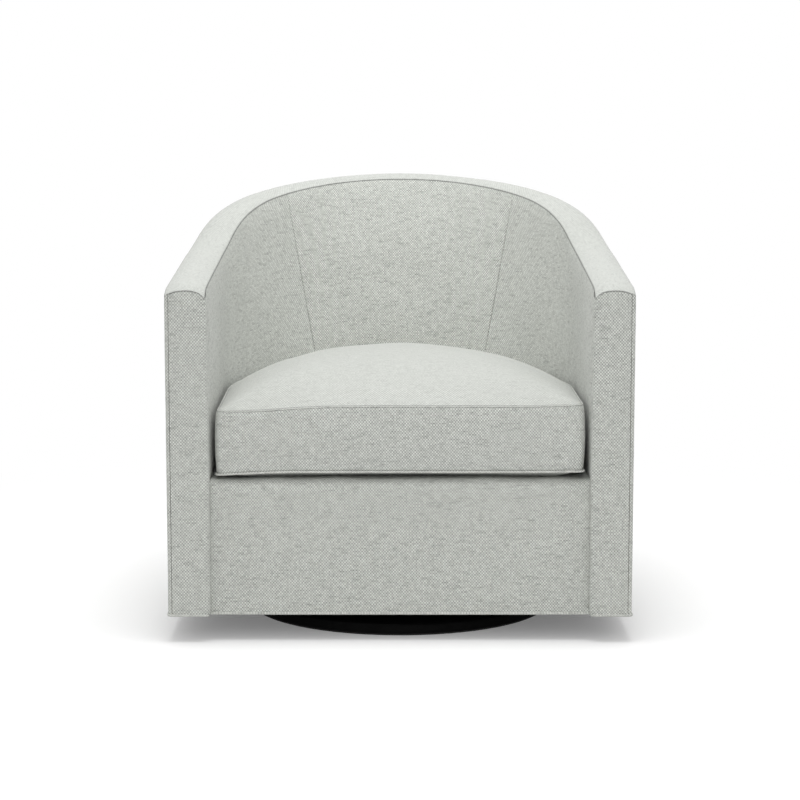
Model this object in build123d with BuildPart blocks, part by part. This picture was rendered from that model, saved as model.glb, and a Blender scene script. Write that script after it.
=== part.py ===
"""Swivel barrel chair, in millimetres.

The origin is on the swivel axis at floor level, +Z up. The arm fronts face -Y and the back is
at +Y. Left and right are as seen from the front, so left is -X.
"""

from math import cos, radians, sin, tan
import os

from build123d import *

os.makedirs("parts", exist_ok=True)

# ---------------------------------------------------------------- overall
overall_width = 787.0
overall_depth = 805.0
swivel_setback = 320.0  # arm fronts to the swivel axis
hem_height = 45.0

# outline seen from above: straight side, wide side arc, tighter back arc
back_radius = 378.4
side_turn = 30.0  # degrees from straight to where the back arc starts

# top line seen from the side, measured back from the arm fronts
arm_front_height = 599.3
nose_length = 22.0
nose_height = 610.2
rise_start = 434.6
rise_start_height = 646.1
rise_end = 583.6
rise_end_height = 718.9
back_height = 769.7
nose_radius = 110.0
rise_start_radius = 292.0
rise_end_radius = 704.0

# ---------------------------------------------------------------- wall layers
wall_thickness = 68.0
cover_thickness = 2.0
board_thickness = 3.0
frame_thickness = 22.0
layer_gap = 0.3
band_crown = 10.0
band_edge_radius = 4.0
band_depth = 24.0
rail_depth = 60.0

# inside of the barrel at seat level
lining_low_step = 2.5  # the arms stand this much further in at the deck than at the top
lining_low_set_in = 190.0  # back of the outline, at deck level, in front of the outside back
lining_low_radius = 300.0
lining_low_turn = 30.0
low_seam_angle = 27.0  # the inside seams at deck level, degrees each side of straight back
top_seam_angle = 45.0  # the same at the top of the back

# ---------------------------------------------------------------- seat
deck_height = 276.0
front_recess = 16.0
front_pad = 8.0
front_edge_radius = 14.0
deck_lip = 90.0
deck_pad_thickness = 7.6
deck_cloth_thickness = 0.8
spring_wire = 3.8
spring_count = 5
spring_pitch = 96.0
spring_loop_pitch = 42.0
spring_loop_width = 60.0
spring_bend_radius = 13.3
clip_sheet = 0.8
clip_length = 12.0
clip_width = 14.0
seat_ring_width = 48.0
corner_block_leg = 60.0
post_width = 90.0
post_angles = (18.0, 62.0)  # degrees each side of straight back

# ---------------------------------------------------------------- cushion
cushion_gap = 12.0
cushion_front = 14.0  # behind the arm fronts
cushion_bottom_seam = 291.0
cushion_top_seam = 402.0
cushion_crown = 75.0
crown_power = 2.8
cushion_corner = 22.0
crown_corner = 160.0  # how much rounder the corners get towards the top of the crown
cushion_skin = 2.0
seam_draw = 2.5  # the boxing is drawn in this much at its seams
belly_draw = 26.0  # the underside is drawn in this much where it rests
belly_knee_height = 5.9  # where its swell turns up towards the seam
belly_knee_draw = 9.9
welt_radius = 1.8
zipper_tape_height = 26.0
zipper_tape_thickness = 1.0
zipper_half_angle = 50.0
slider_width = 11.2
slider_height = 7.0
slider_thickness = 3.5

# ---------------------------------------------------------------- swivel base
base_radius = 273.0
base_thickness = 18.0
base_edge_radius = 3.0
floor_pad_thickness = 3.0
floor_pad_margin = 2.0
swivel_height = 24.0
plate_side = 200.0
plate_thickness = 3.0
plate_corner = 16.0
race_radius = 80.0
race_width = 20.0
race_height = 4.0
ball_gap = 0.05
ball_count = 16
cage_thickness = 3.0
cage_width = 16.0
cage_clearance = 0.2
pivot_radius = 8.0
pivot_clearance = 0.08
pivot_head_radius = 14.0
pivot_head_height = 3.0
relief_radius = 30.0
screw_spacing = 168.0
screw_radius = 2.5
screw_head_radius = 5.0
screw_head_height = 3.0
screw_length = 16.0
bolt_spacing = 150.0
bolt_radius = 4.0
bolt_head_radius = 7.0
bolt_head_height = 5.0
tee_nut_flange_radius = 11.0
tee_nut_flange = 1.5
tee_nut_barrel_radius = 5.5
tee_nut_barrel = 10.0
fastener_clearance = 0.05

# ---------------------------------------------------------------- carcass
bottom_board_thickness = 18.0
dust_cover_thickness = 0.6
dust_cover_opening = 230.0
hem_welt_height = 5.0
hem_welt_thickness = 1.5
front_return = 6.0

# cutting shapes run past what they cut
cutter_reach = 30.0
cut_margin = 1.0
lining_root = 8.0  # the lining's shape starts this far below the deck

# ---------------------------------------------------------------- worked out from the above
half_width = overall_width / 2
lining_low_half_width = half_width - wall_thickness - lining_low_step
front_y = -swivel_setback
back_y = overall_depth - swivel_setback
above_all = back_height + 2 * cutter_reach
below_deck = deck_height - lining_root

board_inset = cover_thickness + layer_gap
frame_inset = board_inset + board_thickness + layer_gap
pad_inset = frame_inset + frame_thickness + layer_gap
frame_inner_inset = pad_inset - layer_gap

board_bottom = hem_height
board_top = board_bottom + bottom_board_thickness
rail_front = front_recess + front_pad + layer_gap
rail_back = rail_front + frame_thickness
rail_top = deck_height - deck_pad_thickness - layer_gap * 3 - deck_cloth_thickness - clip_sheet - spring_wire
arm_panel_depth = front_recess + front_pad
base_top = floor_pad_thickness + base_thickness
lower_plate_top = base_top + plate_thickness
upper_plate_bottom = base_top + swivel_height - plate_thickness


# ---------------------------------------------------------------- shared outlines
def barrel_face(inset=0.0, setback=0.0, half=half_width, back=back_y, radius=back_radius, turn=side_turn):
    """The chair from above: front line, straight sides, two side arcs and the back arc."""
    half, back, radius = half - inset, back - inset, radius - inset
    turn_cos, turn_sin = cos(radians(turn)), sin(radians(turn))
    side_radius = (half - radius * turn_cos) / (1 - turn_cos)
    shoulder = back - side_radius * turn_sin - radius * (1 - turn_sin)
    with BuildSketch() as outline:
        with BuildLine():
            right = Line((half, front_y + setback), (half, shoulder))
            right_arc = JernArc(right @ 1, (0, 1), side_radius, turn)
            back_arc = JernArc(right_arc @ 1, right_arc % 1, radius, 180 - 2 * turn)
            left_arc = JernArc(back_arc @ 1, back_arc % 1, side_radius, turn)
            left = Line(left_arc @ 1, (-half, front_y + setback))
            Line(left @ 1, right @ 0)
        make_face()
    return outline.sketch


def lining_face(height, inset=0.0, setback=0.0):
    """The inside of the barrel at one height: upright arms and a back that leans outwards."""
    share = (height - deck_height) / (back_height - deck_height)
    top_half = half_width - wall_thickness
    top_back = back_y - wall_thickness
    top_radius = back_radius - wall_thickness
    low_back = back_y - lining_low_set_in
    return barrel_face(
        inset,
        setback,
        lining_low_half_width + share * (top_half - lining_low_half_width),
        low_back + share * (top_back - low_back),
        lining_low_radius + share * (top_radius - lining_low_radius),
        lining_low_turn + share * (side_turn - lining_low_turn),
    )


def lining_plug(inset=0.0, levels=5):
    """The space inside the barrel as a solid, open past the arm fronts."""
    with BuildPart() as plug:
        for level in range(levels + 1):
            height = below_deck + (above_all - below_deck) * level / levels
            with BuildSketch(Plane.XY.offset(height)):
                add(lining_face(height, inset, setback=-cutter_reach))
        loft(ruled=True)
    return plug.part


def profile_block(drop=0.0):
    """Everything under the chair's top line, lowered by drop."""
    line_points = [
        (front_y, arm_front_height - drop),
        (front_y + nose_length, nose_height - drop),
        (front_y + rise_start, rise_start_height - drop),
        (front_y + rise_end, rise_end_height - drop),
        (back_y, back_height - drop),
    ]
    nose_slope = (nose_height - arm_front_height) / nose_length
    with BuildPart() as block:
        with BuildSketch(Plane.YZ):
            with BuildLine():
                top = FilletPolyline(*line_points, radius=(nose_radius, rise_start_radius, rise_end_radius))
                Polyline(
                    top @ 1,
                    (back_y + cutter_reach, back_height - drop),
                    (back_y + cutter_reach, -cutter_reach),
                    (front_y - cutter_reach, -cutter_reach),
                    (front_y - cutter_reach, arm_front_height - drop - cutter_reach * nose_slope),
                    top @ 0,
                )
            make_face()
        extrude(amount=overall_width, both=True)
    return block.part


def back_wedge(setback=0.0):
    """The sector of the barrel that the inside back fills, between its two upright seams."""
    reach = overall_depth
    with BuildPart() as wedge:
        for height in (below_deck, above_all):
            share = (height - deck_height) / (back_height - deck_height)
            low_centre = back_y - lining_low_set_in - lining_low_radius
            top_centre = back_y - back_radius
            centre = low_centre + share * (top_centre - low_centre) + setback
            across = reach * tan(radians(low_seam_angle + share * (top_seam_angle - low_seam_angle)))
            with BuildSketch(Plane.XY.offset(height)):
                with BuildLine():
                    Polyline((0, centre), (across, centre + reach), (-across, centre + reach), close=True)
                make_face()
        loft(ruled=True)
    return wedge.part


def barrel_block(inset, bottom, top_drop, setback=0.0):
    """The barrel filled in: the outline drawn in by inset, from bottom up to the top line."""
    with BuildPart() as block:
        with BuildSketch(Plane.XY.offset(bottom)):
            add(barrel_face(inset, setback))
        extrude(amount=above_all - bottom)
        add(profile_block(top_drop), mode=Mode.INTERSECT)
    return block.part


def wall(outer_inset, inner_inset, bottom, top_drop, setback=0.0):
    """A band of the barrel's wall between two insets, from bottom up to the top line."""
    with BuildPart() as band:
        with BuildSketch(Plane.XY.offset(bottom)):
            add(barrel_face(outer_inset, setback))
            add(barrel_face(inner_inset, setback - cut_margin), mode=Mode.SUBTRACT)
        extrude(amount=above_all - bottom)
        add(profile_block(top_drop), mode=Mode.INTERSECT)
    return band.part


def rim_edges(faces):
    """The edges round a patch of faces, without those inside it."""
    edges = [edge for face in faces for edge in face.edges()]
    return [edge for edge in edges if sum(edge.is_same(other) for other in edges) == 1]


def save(part, name, colour):
    part.label = name
    part.color = Color(colour)
    export_step(part, f"parts/{name}.step")


fabric_colour = "lightgray"
wood_colour = "burlywood"
steel_colour = "slategray"
foam_colour = "khaki"

# ---------------------------------------------------------------- swivel base
with BuildPart() as floor_pad:
    with BuildSketch():
        Circle(base_radius - floor_pad_margin)
    extrude(amount=floor_pad_thickness)
save(floor_pad.part, "floor_pad", "dimgray")

with BuildPart() as base_disc:
    with BuildSketch(Plane.XY.offset(floor_pad_thickness)):
        Circle(base_radius)
    extrude(amount=base_thickness)
    fillet(base_disc.edges().filter_by(GeomType.CIRCLE), base_edge_radius)
    with Locations((0, 0, base_top)):
        Hole(pivot_head_radius + layer_gap, depth=pivot_head_height + layer_gap)
        with GridLocations(screw_spacing, screw_spacing, 2, 2):
            Hole(screw_radius + fastener_clearance, depth=screw_length)
save(base_disc.part, "base_disc", "black")


def swivel_plate(bottom, race_bottom, bore, grid_spacing, grid_radius):
    """A square pressed plate with its raised ball race."""
    with BuildPart() as plate:
        with BuildSketch(Plane.XY.offset(bottom)):
            RectangleRounded(plate_side, plate_side, plate_corner)
            Circle(bore, mode=Mode.SUBTRACT)
            with GridLocations(grid_spacing, grid_spacing, 2, 2):
                Circle(grid_radius, mode=Mode.SUBTRACT)
        extrude(amount=plate_thickness)
        with BuildSketch(Plane.XY.offset(race_bottom)):
            Circle(race_radius + race_width / 2)
            Circle(race_radius - race_width / 2, mode=Mode.SUBTRACT)
        extrude(amount=race_height)
    return plate.part


screw_hole = screw_radius + fastener_clearance
bolt_hole = bolt_radius + fastener_clearance
pivot_bore = pivot_radius + pivot_clearance
save(
    swivel_plate(base_top, lower_plate_top, pivot_bore, screw_spacing, screw_hole),
    "lower_swivel_plate",
    steel_colour,
)
save(
    swivel_plate(upper_plate_bottom, upper_plate_bottom - race_height, pivot_bore, bolt_spacing, bolt_hole),
    "upper_swivel_plate",
    steel_colour,
)

# the pin's foot is sunk in the disc and its head holds the upper plate down
pin_head_bottom = upper_plate_bottom + plate_thickness + layer_gap
with BuildPart() as pivot_pin:
    with Locations((0, 0, base_top - pivot_head_height)):
        Cylinder(pivot_head_radius, pivot_head_height, align=(Align.CENTER, Align.CENTER, Align.MIN))
    with Locations((0, 0, base_top)):
        Cylinder(pivot_radius, pin_head_bottom - base_top, align=(Align.CENTER, Align.CENTER, Align.MIN))
    with Locations((0, 0, pin_head_bottom)):
        Cylinder(pivot_head_radius, pivot_head_height, align=(Align.CENTER, Align.CENTER, Align.MIN))
save(pivot_pin.part, "pivot_pin", steel_colour)

race_space = upper_plate_bottom - lower_plate_top - 2 * race_height
ball_radius = race_space / 2 - ball_gap
ball_height = (upper_plate_bottom + lower_plate_top) / 2
with BuildPart() as bearing_balls:
    with Locations((0, 0, ball_height)):
        with PolarLocations(race_radius, ball_count):
            Sphere(ball_radius)
save(bearing_balls.part, "bearing_balls", "silver")

with BuildPart() as ball_cage:
    with BuildSketch(Plane.XY.offset(ball_height - cage_thickness / 2)):
        Circle(race_radius + cage_width / 2)
        Circle(race_radius - cage_width / 2, mode=Mode.SUBTRACT)
        with PolarLocations(race_radius, ball_count):
            Circle(ball_radius + cage_clearance, mode=Mode.SUBTRACT)
    extrude(amount=cage_thickness)
save(ball_cage.part, "ball_cage", "tan")

with BuildPart() as plate_screws:
    with Locations((0, 0, lower_plate_top)):
        with GridLocations(screw_spacing, screw_spacing, 2, 2):
            Cylinder(screw_head_radius, screw_head_height, align=(Align.CENTER, Align.CENTER, Align.MIN))
            Cylinder(screw_radius, screw_length, align=(Align.CENTER, Align.CENTER, Align.MAX))
save(plate_screws.part, "plate_screws", steel_colour)

with BuildPart() as plate_bolts:
    with Locations((0, 0, upper_plate_bottom)):
        with GridLocations(bolt_spacing, bolt_spacing, 2, 2):
            Cylinder(bolt_head_radius, bolt_head_height, align=(Align.CENTER, Align.CENTER, Align.MAX))
            Cylinder(
                bolt_radius,
                board_top - upper_plate_bottom,
                align=(Align.CENTER, Align.CENTER, Align.MIN),
            )
save(plate_bolts.part, "plate_bolts", steel_colour)

with BuildPart() as tee_nuts:
    with Locations((0, 0, board_top)):
        with GridLocations(bolt_spacing, bolt_spacing, 2, 2):
            Cylinder(tee_nut_flange_radius, tee_nut_flange, align=(Align.CENTER, Align.CENTER, Align.MIN))
            Cylinder(tee_nut_barrel_radius, tee_nut_barrel, align=(Align.CENTER, Align.CENTER, Align.MAX))
            Cylinder(bolt_hole, 3 * tee_nut_barrel, mode=Mode.SUBTRACT)
save(tee_nuts.part, "tee_nuts", steel_colour)

# ---------------------------------------------------------------- wooden carcass
with BuildPart() as bottom_board:
    with BuildSketch(Plane.XY.offset(board_bottom)):
        add(barrel_face(frame_inset, rail_front))
        Circle(relief_radius, mode=Mode.SUBTRACT)
    extrude(amount=bottom_board_thickness)
    with Locations((0, 0, board_top)):
        with GridLocations(bolt_spacing, bolt_spacing, 2, 2):
            Hole(tee_nut_barrel_radius + fastener_clearance, depth=tee_nut_barrel)
            Hole(bolt_hole, depth=bottom_board_thickness)
save(bottom_board.part, "bottom_board", wood_colour)

post_inner = half_width - wall_thickness + cover_thickness + 2 * layer_gap
post_outer = half_width - frame_inset
with BuildPart() as front_rail:
    with BuildSketch(Plane.XY.offset(board_top)):
        with Locations((0, front_y + rail_front)):
            Rectangle(2 * post_inner, frame_thickness, align=(Align.CENTER, Align.MIN))
    extrude(amount=rail_top - board_top)
save(front_rail.part, "front_rail", wood_colour)

for side, name in ((-1, "arm_post_left"), (1, "arm_post_right")):
    with BuildPart() as arm_post:
        with BuildSketch(Plane.XY.offset(board_top)):
            with Locations((side * (post_inner + post_outer) / 2, front_y + rail_front)):
                Rectangle(post_outer - post_inner, frame_thickness, align=(Align.CENTER, Align.MIN))
        extrude(amount=above_all - board_top)
        add(profile_block(band_depth + layer_gap), mode=Mode.INTERSECT)
    save(arm_post.part, name, wood_colour)

seat_ring_bottom = rail_top - frame_thickness
with BuildPart() as seat_ring:
    with BuildSketch(Plane.XY.offset(seat_ring_bottom)):
        add(barrel_face(frame_inner_inset, rail_back))
        add(barrel_face(frame_inner_inset + seat_ring_width, rail_back - cut_margin), mode=Mode.SUBTRACT)
    extrude(amount=frame_thickness)
save(seat_ring.part, "seat_ring", wood_colour)

# glue blocks in the two front corners of the seat frame
ring_inner = half_width - frame_inner_inset - seat_ring_width
with BuildPart() as corner_blocks:
    with BuildSketch(Plane.XY.offset(seat_ring_bottom)):
        with BuildLine():
            Polyline(
                (ring_inner, front_y + rail_back),
                (ring_inner, front_y + rail_back + corner_block_leg),
                (ring_inner - corner_block_leg, front_y + rail_back),
                close=True,
            )
        make_face()
        mirror(about=Plane.YZ)
    extrude(amount=frame_thickness)
save(corner_blocks.part, "corner_blocks", wood_colour)

# the shoulder is where the straight side of the frame ends
turn_cos, turn_sin = cos(radians(side_turn)), sin(radians(side_turn))
outer_side_radius = (half_width - back_radius * turn_cos) / (1 - turn_cos)
shoulder_y = back_y - outer_side_radius * turn_sin - back_radius * (1 - turn_sin)
back_centre_y = back_y - back_radius

rail_drop = band_depth + layer_gap
frame_band = wall(frame_inset, frame_inner_inset, board_top, rail_drop + rail_depth)
with BuildPart() as back_posts:
    with Locations((0, back_centre_y)):
        for angle in post_angles:
            for side in (-1, 1):
                with Locations(Rotation(0, 0, side * angle)):
                    Box(
                        post_width,
                        overall_depth,
                        above_all,
                        align=(Align.CENTER, Align.MIN, Align.MIN),
                    )
    with Locations((0, shoulder_y - post_width)):
        Box(2 * overall_width, post_width, above_all, align=(Align.CENTER, Align.CENTER, Align.MIN))
    add(frame_band, mode=Mode.INTERSECT)
save(back_posts.part, "back_posts", wood_colour)

rail_band = wall(frame_inset, frame_inner_inset, board_top, rail_drop, rail_back) - profile_block(
    rail_drop + rail_depth
)
for side, name in ((-1, "arm_rail_left"), (1, "arm_rail_right")):
    with BuildPart() as arm_rail:
        with Locations((side * overall_width / 2, shoulder_y)):
            Box(overall_width, overall_depth, above_all, align=(Align.CENTER, Align.MAX, Align.MIN))
        add(rail_band, mode=Mode.INTERSECT)
    save(arm_rail.part, name, wood_colour)
with BuildPart() as back_rail:
    with Locations((0, shoulder_y)):
        Box(2 * overall_width, overall_depth, above_all, align=(Align.CENTER, Align.MIN, Align.MIN))
    add(rail_band, mode=Mode.INTERSECT)
save(back_rail.part, "back_rail", wood_colour)

# ---------------------------------------------------------------- seat deck
spring_height = rail_top + layer_gap + spring_wire / 2
spring_front = front_y + rail_front + frame_thickness / 2
clip_top = spring_height + spring_wire / 2 + layer_gap / 2 + clip_sheet


def ring_inside_back(across):
    """Where the seat ring's inner edge lies behind a point this far off the centre line."""
    radius = back_radius - frame_inner_inset - seat_ring_width
    return back_centre_y + (radius**2 - across**2) ** 0.5


def spring(across):
    """One sinuous spring from the front rail back to the seat ring."""
    spring_back = ring_inside_back(across) + seat_ring_width / 2
    loops = int((spring_back - spring_front - 2 * spring_loop_pitch) / spring_loop_pitch)
    pitch = (spring_back - spring_front - 2 * spring_loop_pitch) / loops
    points = [(across, spring_front), (across, spring_front + spring_loop_pitch)]
    for loop in range(loops):
        sideways = across + (spring_loop_width / 2) * (1 if loop % 2 else -1)
        loop_y = spring_front + spring_loop_pitch + loop * pitch
        points += [(sideways, loop_y), (sideways, loop_y + pitch)]
    points += [(across, spring_back - spring_loop_pitch), (across, spring_back)]
    with BuildPart() as wire:
        with BuildLine(Plane.XY.offset(spring_height)) as path:
            FilletPolyline(*points, radius=spring_bend_radius)
        with BuildSketch(Plane(path.line @ 0, z_dir=path.line % 0)):
            Circle(spring_wire / 2)
        sweep()
    return wire.part


spring_places = [spring_pitch * (index - (spring_count - 1) / 2) for index in range(spring_count)]
with BuildPart() as seat_springs:
    for across in spring_places:
        add(spring(across))
save(seat_springs.part, "seat_springs", steel_colour)

with BuildPart() as spring_clips:
    for across in spring_places:
        for clip_y in (spring_front, ring_inside_back(across) + seat_ring_width / 2 - clip_length / 2):
            with Locations((across, clip_y, rail_top)):
                Box(
                    clip_width,
                    clip_length,
                    clip_top - rail_top,
                    align=(Align.CENTER, Align.CENTER, Align.MIN),
                )
                Box(
                    spring_wire + 2 * layer_gap,
                    2 * clip_length,
                    clip_top - clip_sheet - rail_top,
                    align=(Align.CENTER, Align.CENTER, Align.MIN),
                    mode=Mode.SUBTRACT,
                )
save(spring_clips.part, "spring_clips", steel_colour)

cloth_bottom = clip_top + layer_gap
with BuildPart() as deck_cloth:
    with BuildSketch(Plane.XY.offset(cloth_bottom)):
        add(barrel_face(pad_inset, rail_back))
    extrude(amount=deck_cloth_thickness)
save(deck_cloth.part, "deck_cloth", "dimgray")

deck_pad_bottom = deck_height - deck_pad_thickness
with BuildPart() as deck_pad:
    with BuildSketch(Plane.XY.offset(deck_pad_bottom)):
        add(barrel_face(pad_inset, front_recess + deck_lip + layer_gap))
    extrude(amount=deck_pad_thickness)
save(deck_pad.part, "deck_pad", foam_colour)

# the front cover runs down the front rail and back over its top as a padded lip
front_cover_half = half_width - wall_thickness - layer_gap
with BuildPart() as front_cover:
    with BuildSketch(Plane.YZ):
        with BuildLine():
            face_y = front_y + front_recess
            Polyline(
                (face_y, hem_height),
                (face_y, deck_height),
                (face_y + deck_lip, deck_height),
                (face_y + deck_lip, deck_pad_bottom),
                (face_y + front_pad, deck_pad_bottom),
                (face_y + front_pad, hem_height),
                close=True,
            )
        make_face()
    extrude(amount=front_cover_half, both=True)
    top_front_edge = front_cover.edges().filter_by(Axis.X).group_by(Axis.Z)[-1].sort_by(Axis.Y)[0]
    fillet(top_front_edge, front_edge_radius)
save(front_cover.part, "front_cover", fabric_colour)

# ---------------------------------------------------------------- outside of the barrel
seam_drop = band_crown + layer_gap
board_front = cover_thickness + layer_gap
save(
    wall(board_inset, board_inset + board_thickness, board_bottom, seam_drop, board_front),
    "outside_board",
    "peru",
)

with BuildPart() as outside_cover:
    add(wall(0, cover_thickness, hem_height, seam_drop))
    with BuildSketch(Plane.XY.offset(hem_height)):
        with Locations((half_width - front_return / 2, front_y + cover_thickness / 2)):
            Rectangle(front_return, cover_thickness)
        mirror(about=Plane.YZ)
    extrude(amount=arm_front_height - seam_drop - hem_height)
save(outside_cover.part, "outside_cover", fabric_colour)

panel_outer = half_width - front_return - layer_gap
panel_inner = half_width - wall_thickness
for side, name in ((-1, "arm_panel_left"), (1, "arm_panel_right")):
    with BuildPart() as arm_panel:
        with BuildSketch(Plane.XY.offset(hem_height)):
            with Locations((side * (panel_outer + panel_inner) / 2, front_y)):
                Rectangle(panel_outer - panel_inner, arm_panel_depth, align=(Align.CENTER, Align.MIN))
        extrude(amount=above_all - hem_height)
        add(profile_block(seam_drop), mode=Mode.INTERSECT)
    save(arm_panel.part, name, fabric_colour)

# the band over the top: a crowned cap with a narrower pad under it
with BuildPart() as top_band:
    add(wall(0, wall_thickness, board_top, 0.0) - profile_block(band_crown))
    fillet(rim_edges(top_band.faces().filter_by(lambda face: face.normal_at().Z > 0.5)), band_edge_radius)
save(top_band.part, "top_band", fabric_colour)

with BuildPart() as band_pad:
    band_pad_inner = wall_thickness - cover_thickness - layer_gap
    add(wall(frame_inset, band_pad_inner, board_top, seam_drop, rail_front))
    add(profile_block(band_depth), mode=Mode.SUBTRACT)
save(band_pad.part, "band_pad", foam_colour)

# welt along the hem, round the outside and across the fronts
welt_out = hem_welt_thickness + layer_gap
with BuildPart() as hem_welt:
    with BuildSketch(Plane.XY.offset(hem_height)):
        add(barrel_face(-welt_out, -welt_out))
        add(barrel_face(-layer_gap, -layer_gap), mode=Mode.SUBTRACT)
        with Locations((0, front_y)):
            Rectangle(2 * panel_inner, 4 * welt_out, mode=Mode.SUBTRACT)
        with Locations((0, front_y + front_recess - layer_gap)):
            Rectangle(2 * front_cover_half, hem_welt_thickness, align=(Align.CENTER, Align.MAX))
    extrude(amount=hem_welt_height)
save(hem_welt.part, "hem_welt", fabric_colour)

with BuildPart() as dust_cover:
    with BuildSketch(Plane.XY.offset(hem_height - layer_gap - dust_cover_thickness)):
        add(barrel_face(frame_inset, rail_front))
        Rectangle(dust_cover_opening, dust_cover_opening, mode=Mode.SUBTRACT)
    extrude(amount=dust_cover_thickness)
save(dust_cover.part, "dust_cover", "black")

# ---------------------------------------------------------------- inside of the barrel
inside_bottom = deck_height + layer_gap
seam_slack = layer_gap / sin(radians(low_seam_angle))
back_sector = back_wedge()
back_sector_inner = back_wedge(seam_slack)


def save_inside(layer, back_name, arm_name):
    """Divide a lining layer at the two upright seams into the back and the two arms."""
    with BuildPart() as back:
        add(layer)
        add(back_sector_inner, mode=Mode.INTERSECT)
    save(back.part, back_name, fabric_colour)
    for keep, side in ((Keep.BOTTOM, "left"), (Keep.TOP, "right")):
        with BuildPart() as arm:
            add(layer)
            add(back_sector, mode=Mode.SUBTRACT)
            split(bisect_by=Plane.YZ, keep=keep)
        save(arm.part, f"{arm_name}_{side}", fabric_colour)


with BuildPart() as inside_foam:
    add(barrel_block(pad_inset, inside_bottom, rail_drop, rail_back + layer_gap))
    add(lining_plug(-cover_thickness - layer_gap), mode=Mode.SUBTRACT)
save_inside(inside_foam.part, "inside_back_pad", "inside_arm_pad")

with BuildPart() as inside_fabric:
    add(barrel_block(board_inset, inside_bottom, seam_drop, arm_panel_depth + layer_gap))
    add(lining_plug(-cover_thickness), mode=Mode.INTERSECT)
    add(lining_plug(), mode=Mode.SUBTRACT)
save_inside(inside_fabric.part, "inside_back_cover", "inside_arm_cover")

# ---------------------------------------------------------------- seat cushion
cushion_bottom = deck_height + layer_gap
boxing_middle = (cushion_bottom_seam + cushion_top_seam) / 2
crown_shares = (1.0, 0.94, 0.83, 0.68, 0.48, 0.24)


def cushion_face(height, draw=0.0, share=1.0):
    """The cushion from above at one height, drawn in all round, then shrunk about its middle."""
    with BuildSketch() as outline:
        add(lining_face(height, cushion_gap + draw, cushion_front + draw))
        rounding = cushion_corner + crown_corner * (1 - share)
        fillet(outline.vertices().sort_by(Axis.Y)[:2], rounding)
    middle = outline.sketch.bounding_box().center().Y
    return scale(outline.sketch, by=share, about=(0, middle), mode=Mode.PRIVATE)


def cushion_loft(sections):
    """A loft through (height, draw, share) sections."""
    with BuildPart() as body:
        for height, draw, share in sections:
            level = min(height, cushion_top_seam)
            with BuildSketch(Plane.XY.offset(height)):
                add(cushion_face(level, draw, share))
        loft()
    return body.part


def cushion_belly(skin=0.0):
    """The underside: flat where it rests, swelling out to the bottom seam."""
    return cushion_loft(
        [
            (cushion_bottom + skin, belly_draw + skin, 1.0),
            (cushion_bottom + max(belly_knee_height, skin + cut_margin), belly_knee_draw + skin, 1.0),
            (cushion_bottom_seam, seam_draw + skin, 1.0),
        ]
    )


def cushion_boxing(skin=0.0):
    """The band between the seams, drawn in at both."""
    return cushion_loft(
        [
            (cushion_bottom_seam, seam_draw + skin, 1.0),
            (boxing_middle, skin, 1.0),
            (cushion_top_seam, seam_draw + skin, 1.0),
        ]
    )


def cushion_dome(skin=0.0):
    """The crowned top."""
    rise = cushion_crown - skin
    return cushion_loft(
        [
            (cushion_top_seam + rise * (1 - share**crown_power), seam_draw + skin, share)
            for share in crown_shares
        ]
    )


for piece, name in (
    (cushion_belly, "cushion_bottom_panel"),
    (cushion_boxing, "cushion_boxing_panel"),
    (cushion_dome, "cushion_top_panel"),
):
    with BuildPart() as panel:
        add(piece())
        add(piece(cushion_skin), mode=Mode.SUBTRACT)
    save(panel.part, name, "gainsboro")

core_inset = cushion_skin + layer_gap
with BuildPart() as cushion_core:
    add(cushion_belly(core_inset))
    add(cushion_boxing(core_inset))
    add(cushion_dome(core_inset))
save(cushion_core.part, "cushion_core", foam_colour)

for seam_height, name in (
    (cushion_top_seam, "cushion_top_welt"),
    (cushion_bottom_seam, "cushion_bottom_welt"),
):
    with BuildPart() as welt:
        with BuildSketch(Plane.XY.offset(seam_height - welt_radius)):
            add(cushion_face(seam_height + welt_radius, seam_draw - 2 * welt_radius - layer_gap))
            add(cushion_face(seam_height + welt_radius, seam_draw - layer_gap), mode=Mode.SUBTRACT)
        extrude(amount=2 * welt_radius)
    save(welt.part, name, "gainsboro")

# the zipper lies along the back of the boxing
zipper_inner_draw = -2 * layer_gap
zipper_outer_draw = zipper_inner_draw - zipper_tape_thickness
boxing_centre = back_y - lining_low_set_in - lining_low_radius
with BuildPart() as cushion_zipper:
    low, high = boxing_middle - zipper_tape_height / 2, boxing_middle + zipper_tape_height / 2
    add(cushion_loft([(low, zipper_outer_draw, 1.0), (high, zipper_outer_draw, 1.0)]))
    add(cushion_loft([(low, zipper_inner_draw, 1.0), (high, zipper_inner_draw, 1.0)]), mode=Mode.SUBTRACT)
    with BuildSketch(Plane.XY.offset(low)):
        with BuildLine():
            across = overall_depth * tan(radians(zipper_half_angle))
            Polyline(
                (0, boxing_centre),
                (across, boxing_centre + overall_depth),
                (-across, boxing_centre + overall_depth),
                close=True,
            )
        make_face()
    extrude(amount=zipper_tape_height, mode=Mode.INTERSECT)
save(cushion_zipper.part, "cushion_zipper", "gray")

with BuildPart() as zipper_slider:
    slider_top = boxing_middle + slider_height / 2
    zipper_back = cushion_face(slider_top, zipper_outer_draw).bounding_box().max.Y
    with Locations((0, zipper_back + layer_gap, boxing_middle)):
        Box(slider_width, slider_thickness, slider_height, align=(Align.CENTER, Align.MIN, Align.CENTER))
save(zipper_slider.part, "zipper_slider", steel_colour)
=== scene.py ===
import math

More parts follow.
